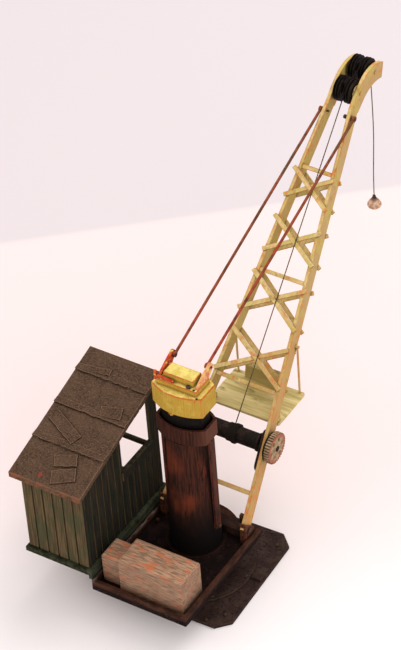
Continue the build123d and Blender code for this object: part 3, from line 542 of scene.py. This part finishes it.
def cabin_paint():
    """Olive boards in front, dark green ones at the sides painted darker as shade, with red-brown
    corners, ledges and painted shade in the grooves.
    """
    p = Paint("cabin_green", specular=0.06)
    grain = p.noise(0.4, (1, 1, 18), seed=4, detail=3)
    olive = p.mix(p.mask(grain, 0.34, 0.66), (68, 58, 40), (100, 82, 58))
    mossy = p.mask(p.noise(3.0, (1, 1, 3), seed=2), 0.44, 0.62)
    olive = p.mix(p.both(mossy, 0.65), olive, (62, 68, 46))
    # painted shade: the side walls take darker, greener boards than the front
    dark = p.mix(p.mask(grain, 0.34, 0.66), (26, 28, 25), (50, 44, 35))
    greener = p.mask(p.noise(3.4, (1, 1, 3), seed=8), 0.48, 0.66)
    dark = p.mix(p.both(greener, 0.6), dark, (32, 45, 33))
    front = p.mask(p.facing("Y"), -0.4, -0.8)
    colour = p.mix(front, dark, olive)
    green = p.mix(p.mask(p.noise(1.6, seed=19), 0.4, 0.6), (33, 34, 24), (56, 58, 41))
    upward = p.mask(p.facing("Z"), 0.4, 0.8)
    ledge = p.either(upward, p.mask(p.axis("Z"), 15.6, 15.2))
    colour = p.mix(ledge, colour, green)
    deck_side = p.both(p.mask(p.axis("X"), -17.0, -16.0), p.mask(p.axis("Z"), 15.8, 15.0))
    teal = p.both(deck_side, p.mask(p.noise(1.8, (1, 3, 1), seed=27), 0.36, 0.56))
    colour = p.mix(p.both(teal, 0.6), colour, (66, 72, 60))
    worn = p.mask(p.noise(1.6, (1, 1, 5), seed=6), 0.34, 0.5)
    rubbed = p.both(p.edges(0.3), worn)
    edge = p.mix(front, (112, 62, 48), (92, 92, 58))
    colour = p.mix(p.both(rubbed, 0.85), colour, edge)
    # painted shade: dark green in the plank grooves and corners
    colour = p.mix(p.both(p.crevice_shade(0.45, 0.85, 0.5), 0.9), colour, (16, 22, 17))
    relief = p.plus(grain, p.times(p.noise(0.25, seed=3, detail=5), 0.4))
    return p.finish(colour, (0.65, 0.92), relief, 0.05)


RED_SPOT = (-0.02910, -0.02805, 0.04455)  # a drop of red paint on the roof
ROOF_LOW_CORNER = (-0.0376, -0.0306, 0.0430)  # the left front corner, rubbed orange


def roof_paint():
    """Tar paper: finely mottled grey-brown with pale fibres, laps and patches with lighter edges that
    are wear and painted highlight, painted shade in the corners under them, and one red paint spot.
    """
    p = Paint("roof_tar_paper", specular=0.06)
    mottle = p.noise(0.42, seed=4, detail=4)
    fibres = p.noise(0.22, (3.5, 1, 1), seed=7, detail=3)
    colour = p.mix(p.mask(mottle, 0.3, 0.7), (58, 44, 35), (96, 75, 60))
    colour = p.mix(p.both(p.mask(p.noise(5.0, seed=9), 0.42, 0.64), 0.4), colour, (98, 76, 60))
    colour = p.mix(p.both(p.mask(fibres, 0.54, 0.7), 0.5), colour, (124, 98, 76))
    colour = p.mix(p.both(p.mask(fibres, 0.44, 0.3), 0.5), colour, (44, 32, 26))
    # wear and painted highlight: a lighter colour along the edges of laps, patches and boards
    rubbed = p.both(p.edges(0.26, 0.01, 0.1), p.mask(p.noise(1.5, seed=6), 0.24, 0.42))
    colour = p.mix(p.both(rubbed, 0.85), colour, (150, 118, 92))
    front = p.both(p.mask(p.axis("Y"), -30.1, -30.5), p.mask(p.noise(2.5, seed=19), 0.4, 0.6))
    colour = p.mix(p.both(front, 0.6), colour, (132, 84, 60))
    corner = p.near(ROOF_LOW_CORNER, 6.0)
    worn_corner = p.both(corner, p.edges(0.35))
    colour = p.mix(p.both(worn_corner, 0.9), colour, (190, 96, 52))
    # painted shade: dark in the corners under laps and patches
    colour = p.mix(p.crevice_shade(0.8, 0.88, 0.5), colour, (28, 20, 16))
    colour = p.mix(p.both(p.near(RED_SPOT, 0.8), 0.6), colour, (158, 52, 44))
    relief = p.plus(mottle, p.times(fibres, 0.8))
    return p.finish(colour, (0.8, 0.98), relief, 0.05)


def ballast_paint():
    """Grey-brown wooden grain along X with orange dry-brushing on the top and corners, sides darker as
    painted shade and painted shade in the corners.
    """
    p = Paint("ballast_wood", specular=0.1)
    along = p.noise(0.34, (8, 1, 1), seed=5, detail=5)
    across = p.noise(0.34, (1, 5, 1), seed=5, detail=5)
    grain = p.mix(p.mask(p.facing("X"), 0.6, 0.9), along, across)
    colour = p.mix(p.mask(grain, 0.3, 0.7), (124, 95, 76), (186, 148, 118))
    dark_lines = p.noise(0.4, (8, 1, 1), seed=13, detail=3)
    colour = p.mix(p.both(p.mask(dark_lines, 0.56, 0.68), 0.7), colour, (84, 68, 58))
    upward = p.plus(0.4, p.times(p.mask(p.facing("Z"), 0.2, 0.8), 0.3))
    brushed = p.mask(p.noise(1.7, (2.2, 1, 1), seed=8), 0.52, 0.64)
    patches = p.both(brushed, p.mask(grain, 0.3, 0.5))
    colour = p.mix(p.both(patches, upward), colour, (198, 104, 62))
    # painted shade: faces that do not face up are darker
    colour = p.mix(p.both(p.mask(p.facing("Z"), 0.8, 0.2), 0.3), colour, (112, 92, 80))
    rubbed = p.both(p.edges(0.45, 0.01, 0.1), p.mask(p.noise(1.4, seed=6), 0.26, 0.42))
    colour = p.mix(p.both(rubbed, 0.85), colour, (198, 98, 54))
    # painted shade: dark in the corners between pieces
    colour = p.mix(p.crevice_shade(1.6, 0.75, 0.3), colour, (46, 34, 27))
    return p.finish(colour, (0.6, 0.9), grain, 0.06)


FINISHES = {
    "base": base_paint,
    "bolts": bolt_paint,
    "deck": deck_paint,
    "beam": beam_paint,
    "foot": foot_paint,
    "post": post_paint,
    "neck": neck_paint,
    "straps": strap_paint,
    "cap": cap_paint,
    "rust": rust_paint,
    "stays": stay_paint,
    "jib": jib_paint,
    "platform": platform_paint,
    "sheaves": sheave_paint,
    "winch": winch_paint,
    "gear": gear_paint,
    "rope": rope_paint,
    "weight": weight_paint,
    "knot": knot_paint,
    "cabin": cabin_paint,
    "roof": roof_paint,
    "ballast": ballast_paint,
}
finishes = {slot: build() for slot, build in FINISHES.items()}
NODE_FINISHES = {"sheave_spacers": spacer_paint(), "head_axles": finishes["jib"]}

# ---------------------------------------------------------------- CAD nodes

SOFT_CORNERS = {
    "base_plate": 0.12,
    "deck_tray": 0.14,
    "back_beam": 0.14,
    "collar": 0.16,
    "cap": 0.16,
    "cap_lever": 0.08,
    "cap_lugs": 0.1,
    "side_straps": 0.1,
    "jib_arm_left": 0.14,
    "jib_arm_right": 0.14,
    "jib_struts": 0.12,
    "front_braces": 0.12,
    "back_braces": 0.12,
    "foot_brackets": 0.12,
    "foot_lugs": 0.1,
    "platform_plate": 0.1,
    "platform_saddle": 0.14,
    "platform_brackets": 0.08,
    "winch_gear": 0.05,
    "drum": 0.06,
    "drum_brackets": 0.08,
    "brake_disc": 0.08,
    "cabin_front_wall": 0.06,
    "cabin_left_wall": 0.06,
    "cabin_right_wall": 0.06,
    "cabin_boards": 0.1,
    "cabin_floor": 0.12,
    "cabin_beams": 0.1,
    "roof_board": 0.12,
    "roof_felt": 0.05,
}


def soften(piece, width):
    """Welds the piece and rounds its corners by a width in millimetres."""
    weld = piece.modifiers.new("weld", "WELD")
    weld.merge_threshold = 0.002 * MM
    corners = piece.modifiers.new("corners", "BEVEL")
    corners.width = width * MM
    corners.segments = 2
    corners.limit_method = "ANGLE"
    corners.angle_limit = radians(35)
    corners.harden_normals = False
    shading = piece.modifiers.new("shading", "WEIGHTED_NORMAL")
    shading.keep_sharp = False


def dress_cad_nodes():
    """Gives each CAD node its finish, and rounds the corners that are sharp."""
    for name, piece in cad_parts.items():
        for slot in piece.material_slots:
            slot.material = NODE_FINISHES.get(name) or finishes[slot.material.name]
        if name in SOFT_CORNERS:
            soften(piece, SOFT_CORNERS[name])


# ---------------------------------------------------------------- mesh helpers


def new_piece(name, mesh, finish, body, stands_for=()):
    """Links a finished mesh as a piece that rides on a body."""
    mesh.materials.append(finish)
    piece = bpy.data.objects.new(name, mesh)
    bpy.context.scene.collection.objects.link(piece)
    if body:
        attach(piece, body)
    if stands_for:
        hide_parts(*stands_for)
    return piece


def mesh_from(build, name, smooth=True):
    """Runs a function on a new bmesh and returns it as a mesh."""
    form = bmesh.new()
    build(form)
    bmesh.ops.recalc_face_normals(form, faces=form.faces)
    mesh = bpy.data.meshes.new(name)
    form.to_mesh(mesh)
    form.free()
    if smooth:
        mesh.shade_smooth()
        mesh.set_sharp_from_angle(angle=radians(42))
    return mesh


def ring(form, points):
    return [form.verts.new(p) for p in points]


def bridge(form, first, second):
    count = len(first)
    for i in range(count):
        j = (i + 1) % count
        form.faces.new((first[i], first[j], second[j], second[i]))


def lathe(form, profile, centre, along, across, steps=48, wobble=0.0, chance=None):
    """Turns (place, radius) pairs round an axis and returns the rings of points, still open."""
    side = along.cross(across)
    rings = []
    for place, radius in profile:
        points = []
        for i in range(steps):
            turn = 2 * pi * i / steps
            r = radius * (1 + (chance.uniform(-wobble, wobble) if chance else 0))
            points.append(centre + along * place + across * r * cos(turn) + side * r * sin(turn))
        rings.append(ring(form, points))
    for first, second in zip(rings, rings[1:]):
        bridge(form, first, second)
    return rings


def turned_solid(name, profile, centre, along, across, steps, wobble=0.0, chance=None):
    """A closed mesh turned from (place, radius) pairs in metres."""

    def build(form):
        rings = lathe(form, profile, centre, along, across, steps, wobble, chance)
        form.faces.new(rings[0])
        form.faces.new(rings[-1])

    return mesh_from(build, name)


def in_metres(profile):
    """Turns (place, radius) pairs from millimetres into metres."""
    return [(place * MM, radius * MM) for place, radius in profile]


def tube(form, points, section, turn_rate=0.0):
    """Runs a section, a function from angle to radius, along points; turn_rate is radians a metre."""
    steps = 12
    tangent = (points[1] - points[0]).normalized()
    across = tangent.orthogonal().normalized()
    travelled = 0.0
    rings = []
    for i, point in enumerate(points):
        ahead = points[min(i + 1, len(points) - 1)]
        behind = points[max(i - 1, 0)]
        tangent = (ahead - behind).normalized()
        across = (across - tangent * across.dot(tangent)).normalized()
        side = tangent.cross(across)
        travelled += (point - points[i - 1]).length if i else 0.0
        loop = []
        for k in range(steps):
            angle = 2 * pi * k / steps
            r = section(angle - turn_rate * travelled)
            loop.append(point + across * r * cos(angle) + side * r * sin(angle))
        rings.append(ring(form, loop))
    for first, second in zip(rings, rings[1:]):
        bridge(form, first, second)
    form.faces.new(rings[0])
    form.faces.new(rings[-1])


# ---------------------------------------------------------------- ropes

ROPE_DIAMETER = 0.32 * MM
ROPE_LAY = 1.5 * MM  # the length in which the two strands turn once
HOIST_ROUTE = (
    (0.00146, 0.01926, 0.03408),
    (0.00106, 0.08624, 0.10551),
    (0.00106, 0.08753, 0.10687),
    (0.00105, 0.08936, 0.10726),
    (0.00101, 0.09530, 0.10852),
    (0.00100, 0.09810, 0.10912),
    (0.00098, 0.10032, 0.10732),
    (0.00098, 0.10032, 0.10574),
)
FALL_ROUTE = (
    (0.00098, 0.10032, 0.10574),
    (0.00098, 0.10034, 0.10150),
    (0.00118, 0.10048, 0.09280),
    (0.00134, 0.10058, 0.08180),
    (0.00106, 0.10038, 0.07080),
    (0.00096, 0.10032, 0.06480),
    (0.00098, 0.10032, 0.05990),
)


def strands(angle):
    """The radius of two strands laid together, wider across them than between."""
    return ROPE_DIAMETER / 2 * (0.93 + 0.07 * cos(2 * angle))


def line_through(name, route, resolution):
    """Points along the smooth spline that a route's points control."""
    curve = bpy.data.curves.new(name, "CURVE")
    curve.dimensions = "3D"
    spline = curve.splines.new("NURBS")
    spline.points.add(len(route) - 1)
    for point, place in zip(spline.points, route):
        point.co = (*place, 1)
    spline.order_u = 3
    spline.use_endpoint_u = True
    spline.resolution_u = resolution
    guide = bpy.data.objects.new(name, curve)
    bpy.context.scene.collection.objects.link(guide)
    bpy.context.view_layer.update()
    graph = bpy.context.evaluated_depsgraph_get()
    mesh = bpy.data.meshes.new_from_object(guide.evaluated_get(graph))
    points = [v.co.copy() for v in mesh.vertices]
    bpy.data.meshes.remove(mesh)
    bpy.data.objects.remove(guide)
    bpy.data.curves.remove(curve)
    return points


def length_of(points):
    return sum((b - a).length for a, b in zip(points, points[1:]))


def evenly(points, step):
    """The same line with points every step, so that the strands turn evenly."""
    spaced = [points[0]]
    left = step
    for a, b in zip(points, points[1:]):
        run = (b - a).length
        place = left
        while place < run:
            spaced.append(a.lerp(b, place / run))
            place += step
        left = place - run
    if (points[-1] - spaced[-1]).length < step / 2:
        spaced.pop()
    spaced.append(points[-1])
    return spaced


def twisted_rope(name, points):
    """A mesh of two-strand rope along points."""
    fine = evenly(points, ROPE_LAY / 10)
    return mesh_from(lambda form: tube(form, fine, strands, 2 * pi / ROPE_LAY), name)


def make_hoist_rope():
    """From the drum, over both right-hand sheaves, to where the fall begins."""
    points = line_through("hoist_line", HOIST_ROUTE, 24)
    mesh = twisted_rope("hoist_rope_strands", points)
    looks = finishes["rope"]
    piece = new_piece("hoist_rope_strands", mesh, looks, "superstructure", ["hoist_rope"])
    length_of(points)


def make_fall():
    """The hanging part of the rope, along its route."""
    points = line_through("fall_line", FALL_ROUTE, 24)
    mesh = twisted_rope("fall_strands", points)
    piece = new_piece("fall_strands", mesh, finishes["rope"], None, ["rope_fall"])
    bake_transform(piece)
    return piece, points


def make_weight():
    """A turned weight with a chamfered foot."""
    low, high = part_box("hook_weight")
    centre = middle("hook_weight")
    chance = random.Random(4)
    bottom = low.z - centre.z
    tall = high.z - low.z
    wide = (high.x - low.x) / 2
    profile = (
        (0.0, 0.02),
        (0.0, 0.62),
        (0.05, 0.72),
        (0.16, 0.9),
        (0.3, 0.985),
        (0.42, 0.97),
        (0.5, 0.86),
        (0.56, 0.84),
        (0.7, 0.72),
        (0.84, 0.52),
        (0.93, 0.42),
        (1.0, 0.36),
        (1.0, 0.02),
    )
    turned = [(bottom + place * tall, radius * wide) for place, radius in profile]
    mesh = turned_solid("turned_weight", turned, centre, UP, RIGHT, 40, 0.012, chance)
    return new_piece("turned_weight", mesh, finishes["weight"], "hook", ["hook_weight"])


def make_knot():
    """Three turns of rope pulled tight through the weight's eye, with the end tucked up."""
    low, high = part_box("hook_knot")
    centre = middle("hook_knot")
    tall = high.z - low.z
    turns = 3
    steps = 20
    strand_radius = 0.17 * MM
    widest_turn = 0.40 * MM
    points = []
    for i in range(turns * steps + 1):
        share = i / (turns * steps)
        radius = widest_turn * (1 - 0.35 * share)
        angle = 2 * pi * turns * share
        points.append(
            Vector(
                (
                    centre.x + radius * cos(angle),
                    centre.y + radius * sin(angle) * 0.9,
                    low.z + strand_radius + (tall - 0.2 * MM) * share + 0.06 * MM * sin(2 * angle),
                )
            )
        )
    points.append(Vector((centre.x, centre.y, high.z)))
    mesh = mesh_from(lambda form: tube(form, points, lambda angle: strand_radius), "rope_knot")
    return new_piece("rope_knot", mesh, finishes["knot"], "hook", ["hook_knot"])


def make_wraps():
    """The rope's turns on the drum, close together, with two crossing over at the near end."""
    low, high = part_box("rope_wraps")
    axle = middle("drum_axle")
    drum_low, drum_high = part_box("drum")
    flange = 0.3 * MM
    core = (drum_high.z - drum_low.z) / 2 - flange
    pitch = ROPE_DIAMETER * 1.06
    chance = random.Random(11)
    points = []
    turn_steps = 32
    sway_steps = 8  # points between one random sway and the next

    def lay(start, end, radius, turns, phase):
        count = int(turns * turn_steps)
        drift = [chance.uniform(-0.1, 0.1) * pitch for _ in range(count // sway_steps + 2)]
        for i in range(count + 1):
            share = i / count
            angle = phase + 2 * pi * turns * share
            spot = i / sway_steps
            k = int(spot)
            sway = drift[k] + (drift[k + 1] - drift[k]) * (spot - k)
            x = start + (end - start) * share + sway
            points.append(
                Vector((x, axle.y + radius * sin(angle), axle.z + radius * cos(angle)))
            )

    under = core + ROPE_DIAMETER / 2
    over = under + ROPE_DIAMETER * 0.82
    start = low.x + ROPE_DIAMETER / 2
    end = high.x - ROPE_DIAMETER / 2
    lay(start, end, under, (end - start) / pitch, 0.0)
    back_at = low.x + 1.9 * MM
    turns_back = 2.4
    lay(end, back_at, over, turns_back, points_phase(points, axle))
    mesh = twisted_rope("drum_wraps", points)
    return new_piece("drum_wraps", mesh, finishes["rope"], "winch", ["rope_wraps"])


def points_phase(points, axle):
    """The angle round the axle at which the last point lies, measured as the wraps are."""
    last = points[-1]
    return atan2(last.y - axle.y, last.z - axle.z)


# ---------------------------------------------------------------- sheaves


def make_sheaves():
    """Turned sheaves with two round grooves between three rims, a dished web and a hub boss."""
    bodies = {
        "sheave_upper_left": "upper_left_sheave",
        "sheave_upper_right": "upper_right_sheave",
        "sheave_lower_left": "lower_left_sheave",
        "sheave_lower_right": "lower_right_sheave",
    }
    bore = 0.5
    half = 1.12
    profile = (
        (-half, bore),
        (-half, 1.05),
        (-half + 0.14, 1.2),
        (-half + 0.26, 1.5),
        (-half + 0.24, 2.3),
        (-half + 0.08, 2.6),
        (-half + 0.04, 2.9),
        (-half + 0.1, 3.25),
        (-half + 0.18, 3.52),
        (-half + 0.28, 3.62),
        (-half + 0.34, 3.56),
        (-half + 0.38, 3.2),
        (-half + 0.42, 2.92),
        (-0.6, 2.82),
        (-0.34, 2.84),
        (-0.22, 2.94),
        (-0.15, 3.2),
        (-0.11, 3.6),
        (-0.06, 3.68),
        (0.0, 3.7),
    )
    mirrored = [(-place, radius) for place, radius in reversed(profile[:-1])]
    outline = in_metres((*profile, *mirrored))
    for node, body in bodies.items():
        centre = middle(node)

        def build(form, centre=centre):
            rings = lathe(form, outline, centre, RIGHT, AHEAD, 64)
            bridge(form, rings[-1], rings[0])

        name = f"turned_{node}"
        new_piece(name, mesh_from(build, name), finishes["sheaves"], body, [node])


# ---------------------------------------------------------------- roof

FELT_END = 0.135 * MM  # the part of the felt's box height that is not the slope's rise
FELT_LINE = 0.26 * MM  # the roof's line above the foot of the felt's box
FELT_CLEARANCE = 0.15 * MM  # how far under the roof's line a patch's underside lies
PATCH_TOP = 0.44 * MM
LAP_PLACES = (12.6, 24.2, 35.6)  # up the slope from the roof's front edge, in millimetres


def roof_frame():
    """The middle of the roof's front edge at the felt's line, the way up the slope and its normal."""
    low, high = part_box("roof_felt")
    slope = Vector((0, high.y - low.y, high.z - low.z - FELT_END)).normalized()
    normal = RIGHT.cross(slope)
    edge = Vector((0, low.y, low.z + FELT_LINE))
    return edge, slope, normal


def patch(name, corners, seed):
    """A cut piece of tar paper with slightly torn sides and corners that lift a little."""
    chance = random.Random(seed)
    edge, slope, normal = roof_frame()
    outline = []
    per_side = 9
    for (x0, s0), (x1, s1) in zip(corners, (*corners[1:], corners[0])):
        for i in range(per_side):
            share = i / per_side
            jitter = 0.0 if i == 0 else 0.1
            x = x0 + (x1 - x0) * share + chance.uniform(-jitter, jitter)
            s = s0 + (s1 - s0) * share + chance.uniform(-jitter, jitter)
            lift = 0.12 * abs(share - 0.5) ** 2
            outline.append((x * MM, s * MM, lift * MM))

    def build(form):
        centre_x = sum(p[0] for p in outline) / len(outline)
        centre_s = sum(p[1] for p in outline) / len(outline)

        def loop(share, height):
            points = []
            for x, s, lift in outline:
                place = edge + slope * (centre_s + (s - centre_s) * share)
                place += Vector((centre_x + (x - centre_x) * share, 0, 0))
                points.append(place + normal * (height + lift * share))
            return ring(form, points)

        under = loop(1.0, -FELT_CLEARANCE)
        rim = loop(1.0, PATCH_TOP - 0.12 * MM)
        round_off = loop(0.96, PATCH_TOP)
        inner = loop(0.86, PATCH_TOP - 0.12 * MM)
        core = loop(0.5, PATCH_TOP - 0.14 * MM)
        for first, second in ((under, rim), (rim, round_off), (round_off, inner), (inner, core)):
            bridge(form, first, second)
        form.faces.new(core)
        form.faces.new(under)

    mesh = mesh_from(build, name)
    return new_piece(name, mesh, finishes["roof"], "superstructure")


def make_laps():
    """The lower edge of each upper sheet: a lip that wanders a little and lies down into the roof."""
    edge, slope, normal = roof_frame()
    low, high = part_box("roof_felt")
    lip = ((0.0, -0.15), (-0.03, 0.3), (0.09, 0.44), (0.3, 0.44))
    section = lip + ((0.9, 0.28), (2.0, 0.12), (2.0, -0.15))
    steps = 72
    for seed, lap in enumerate(LAP_PLACES):
        chance = random.Random(seed + 40)
        waves = [(chance.uniform(2.0, 9.0), chance.uniform(0, 2 * pi)) for _ in range(4)]

        def build(form, lap=lap, waves=waves, chance=chance):
            rings = []
            for i in range(steps + 1):
                share = i / steps
                sway = sum(sin(rate * 2 * pi * share + phase) for rate, phase in waves) * 0.06
                sway += chance.uniform(-0.05, 0.05)
                place = edge + Vector((low.x + (high.x - low.x) * share, 0, 0))
                points = [place + (slope * (lap + sway + s) + normal * h) * MM for s, h in section]
                rings.append(ring(form, points))
            for first, second in zip(rings, rings[1:]):
                bridge(form, first, second)
            form.faces.new(rings[0])
            form.faces.new(rings[-1])

        name = f"roof_lap_{seed + 1}"
        new_piece(name, mesh_from(build, name), finishes["roof"], "superstructure")


def make_patches():
    """Five patches: (across, up the slope) corners in millimetres from the roof's front edge."""
    layout = {
        "roof_patch_front": ((-25.0, 1.1), (-18.9, 4.4), (-20.7, 8.0), (-26.8, 4.9)),
        "roof_patch_long": ((-36.3, 19.1), (-26.2, 14.0), (-24.6, 17.2), (-34.9, 22.3)),
        "roof_patch_right": ((-23.3, 24.9), (-17.1, 25.6), (-18.4, 29.4), (-24.6, 27.6)),
        "roof_patch_top": ((-35.9, 35.9), (-27.4, 36.9), (-27.7, 38.9), (-36.1, 37.6)),
        "roof_patch_lap": ((-26.9, 6.3), (-20.9, 8.6), (-22.6, 11.9), (-28.6, 9.4)),
    }
    for seed, (name, corners) in enumerate(layout.items()):
        patch(name, corners, seed)


# ---------------------------------------------------------------- small fittings


def make_cap_bolt():
    """A cream bolt that hangs under the cap's front, with its washer."""
    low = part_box("cap")[0]
    centre = Vector((-1.3 * MM, low.y + 1.15 * MM, low.z))
    washer = ((0.0, 0.02), (0.0, 0.9), (-0.22, 0.9))
    shank = ((-0.28, 0.55), (-1.0, 0.52), (-1.15, 0.38), (-1.15, 0.02))
    mesh = turned_solid("cap_under_bolt", in_metres(washer + shank), centre, UP, RIGHT, 18)
    new_piece("cap_under_bolt", mesh, finishes["cap"], "superstructure")


def make_nails():
    """Small domed nail heads at the right of the cap's lower and middle tops."""
    lower_top, middle_top, _ = CAP_RIMS
    places = (
        (3.9, -2.9, middle_top),
        (5.3, -3.0, middle_top),
        (5.9, 2.6, middle_top),
        (6.6, -3.9, lower_top),
    )
    dome = in_metres(((-0.05, 0.34), (0.1, 0.34), (0.2, 0.26), (0.27, 0.12), (0.28, 0.01)))
    for i, place in enumerate(places):
        name = f"cap_nail_{i + 1}"
        mesh = turned_solid(name, dome, Vector(place) * MM, UP, RIGHT, 14)
        new_piece(name, mesh, finishes["bolts"], "superstructure")


def make_pin_nut():
    """The nut on the inner end of the right stay's head pin."""
    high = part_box("stay_pins")[1]
    pin_radius = 0.3 * MM
    centre = Vector((2.55 * MM, high.y - pin_radius, high.z - pin_radius))
    nut = ((-0.5, 0.02), (-0.5, 0.45), (-0.38, 0.6), (0.3, 0.62), (0.42, 0.5), (0.42, 0.02))
    mesh = turned_solid("stay_pin_nut", in_metres(nut), centre, RIGHT, AHEAD, 12)
    new_piece("stay_pin_nut", mesh, finishes["bolts"], "superstructure")


# ---------------------------------------------------------------- floor, light


FLOOR_REACH = 3.0


def make_stage():
    """A pale floor, a little cooler behind the model and painted whiter towards the front as painted
    light, under soft lights from three sides.
    """
    s = FLOOR_REACH
    mesh = bpy.data.meshes.new("floor")
    mesh.from_pydata([(-s, -s, 0), (s, -s, 0), (s, s, 0), (-s, s, 0)], [], [(0, 1, 2, 3)])
    floor = bpy.data.objects.new("floor", mesh)
    bpy.context.scene.collection.objects.link(floor)
    p = Paint("pale_floor", specular=0.0)
    behind = p.vector("DOT_PRODUCT", p.place, (-0.651, 0.759, 0.0))
    ahead = p.vector("DOT_PRODUCT", p.place, (0.52, -0.85, 0.0))
    # painted light: the floor is painted whiter towards the front
    near = p.mix(p.mask(ahead, -70.0, 50.0), (241, 225, 224), (247, 244, 245))
    colour = p.mix(p.mask(behind, 151.0, 154.0), near, (222, 214, 217))
    mesh.materials.append(p.finish(colour, (0.9, 0.95), p.noise(30.0), 0.01))

    world = bpy.data.worlds.new("studio")
    bpy.context.scene.world = world
    world.use_nodes = True
    sky = world.node_tree.nodes["Background"]
    sky.inputs["Color"].default_value = linear((250, 247, 248))
    sky.inputs["Strength"].default_value = 0.85

    for name, place, size, power, tint in (
        ("top_light", (0.1, 0.4, 0.72), 0.6, 2.7, (255, 250, 246)),
        ("front_light", (0.5, -0.6, 0.6), 0.5, 2.2, (255, 246, 236)),
        ("left_light", (-0.6, -0.35, 0.42), 0.6, 0.8, (255, 232, 214)),
    ):
        data = bpy.data.lights.new(name, "AREA")
        data.size = size
        data.energy = power
        data.color = linear(tint)[:3]
        light = bpy.data.objects.new(name, data)
        light.location = place
        aim = Vector((0, 0.02, 0.04)) - Vector(place)
        light.rotation_mode = "QUATERNION"
        light.rotation_quaternion = aim.to_track_quat("-Z", "Y")
        bpy.context.scene.collection.objects.link(light)
    bpy.context.scene.view_settings.view_transform = "Standard"


make_camera()
make_stage()
dress_cad_nodes()
make_hoist_rope()
fall, fall_points = make_fall()
weight = make_weight()
knot = make_knot()
length_of(fall_points)
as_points(fall_points)
make_wraps()
make_sheaves()
make_laps()
make_patches()
make_cap_bolt()
make_nails()
make_pin_nut()
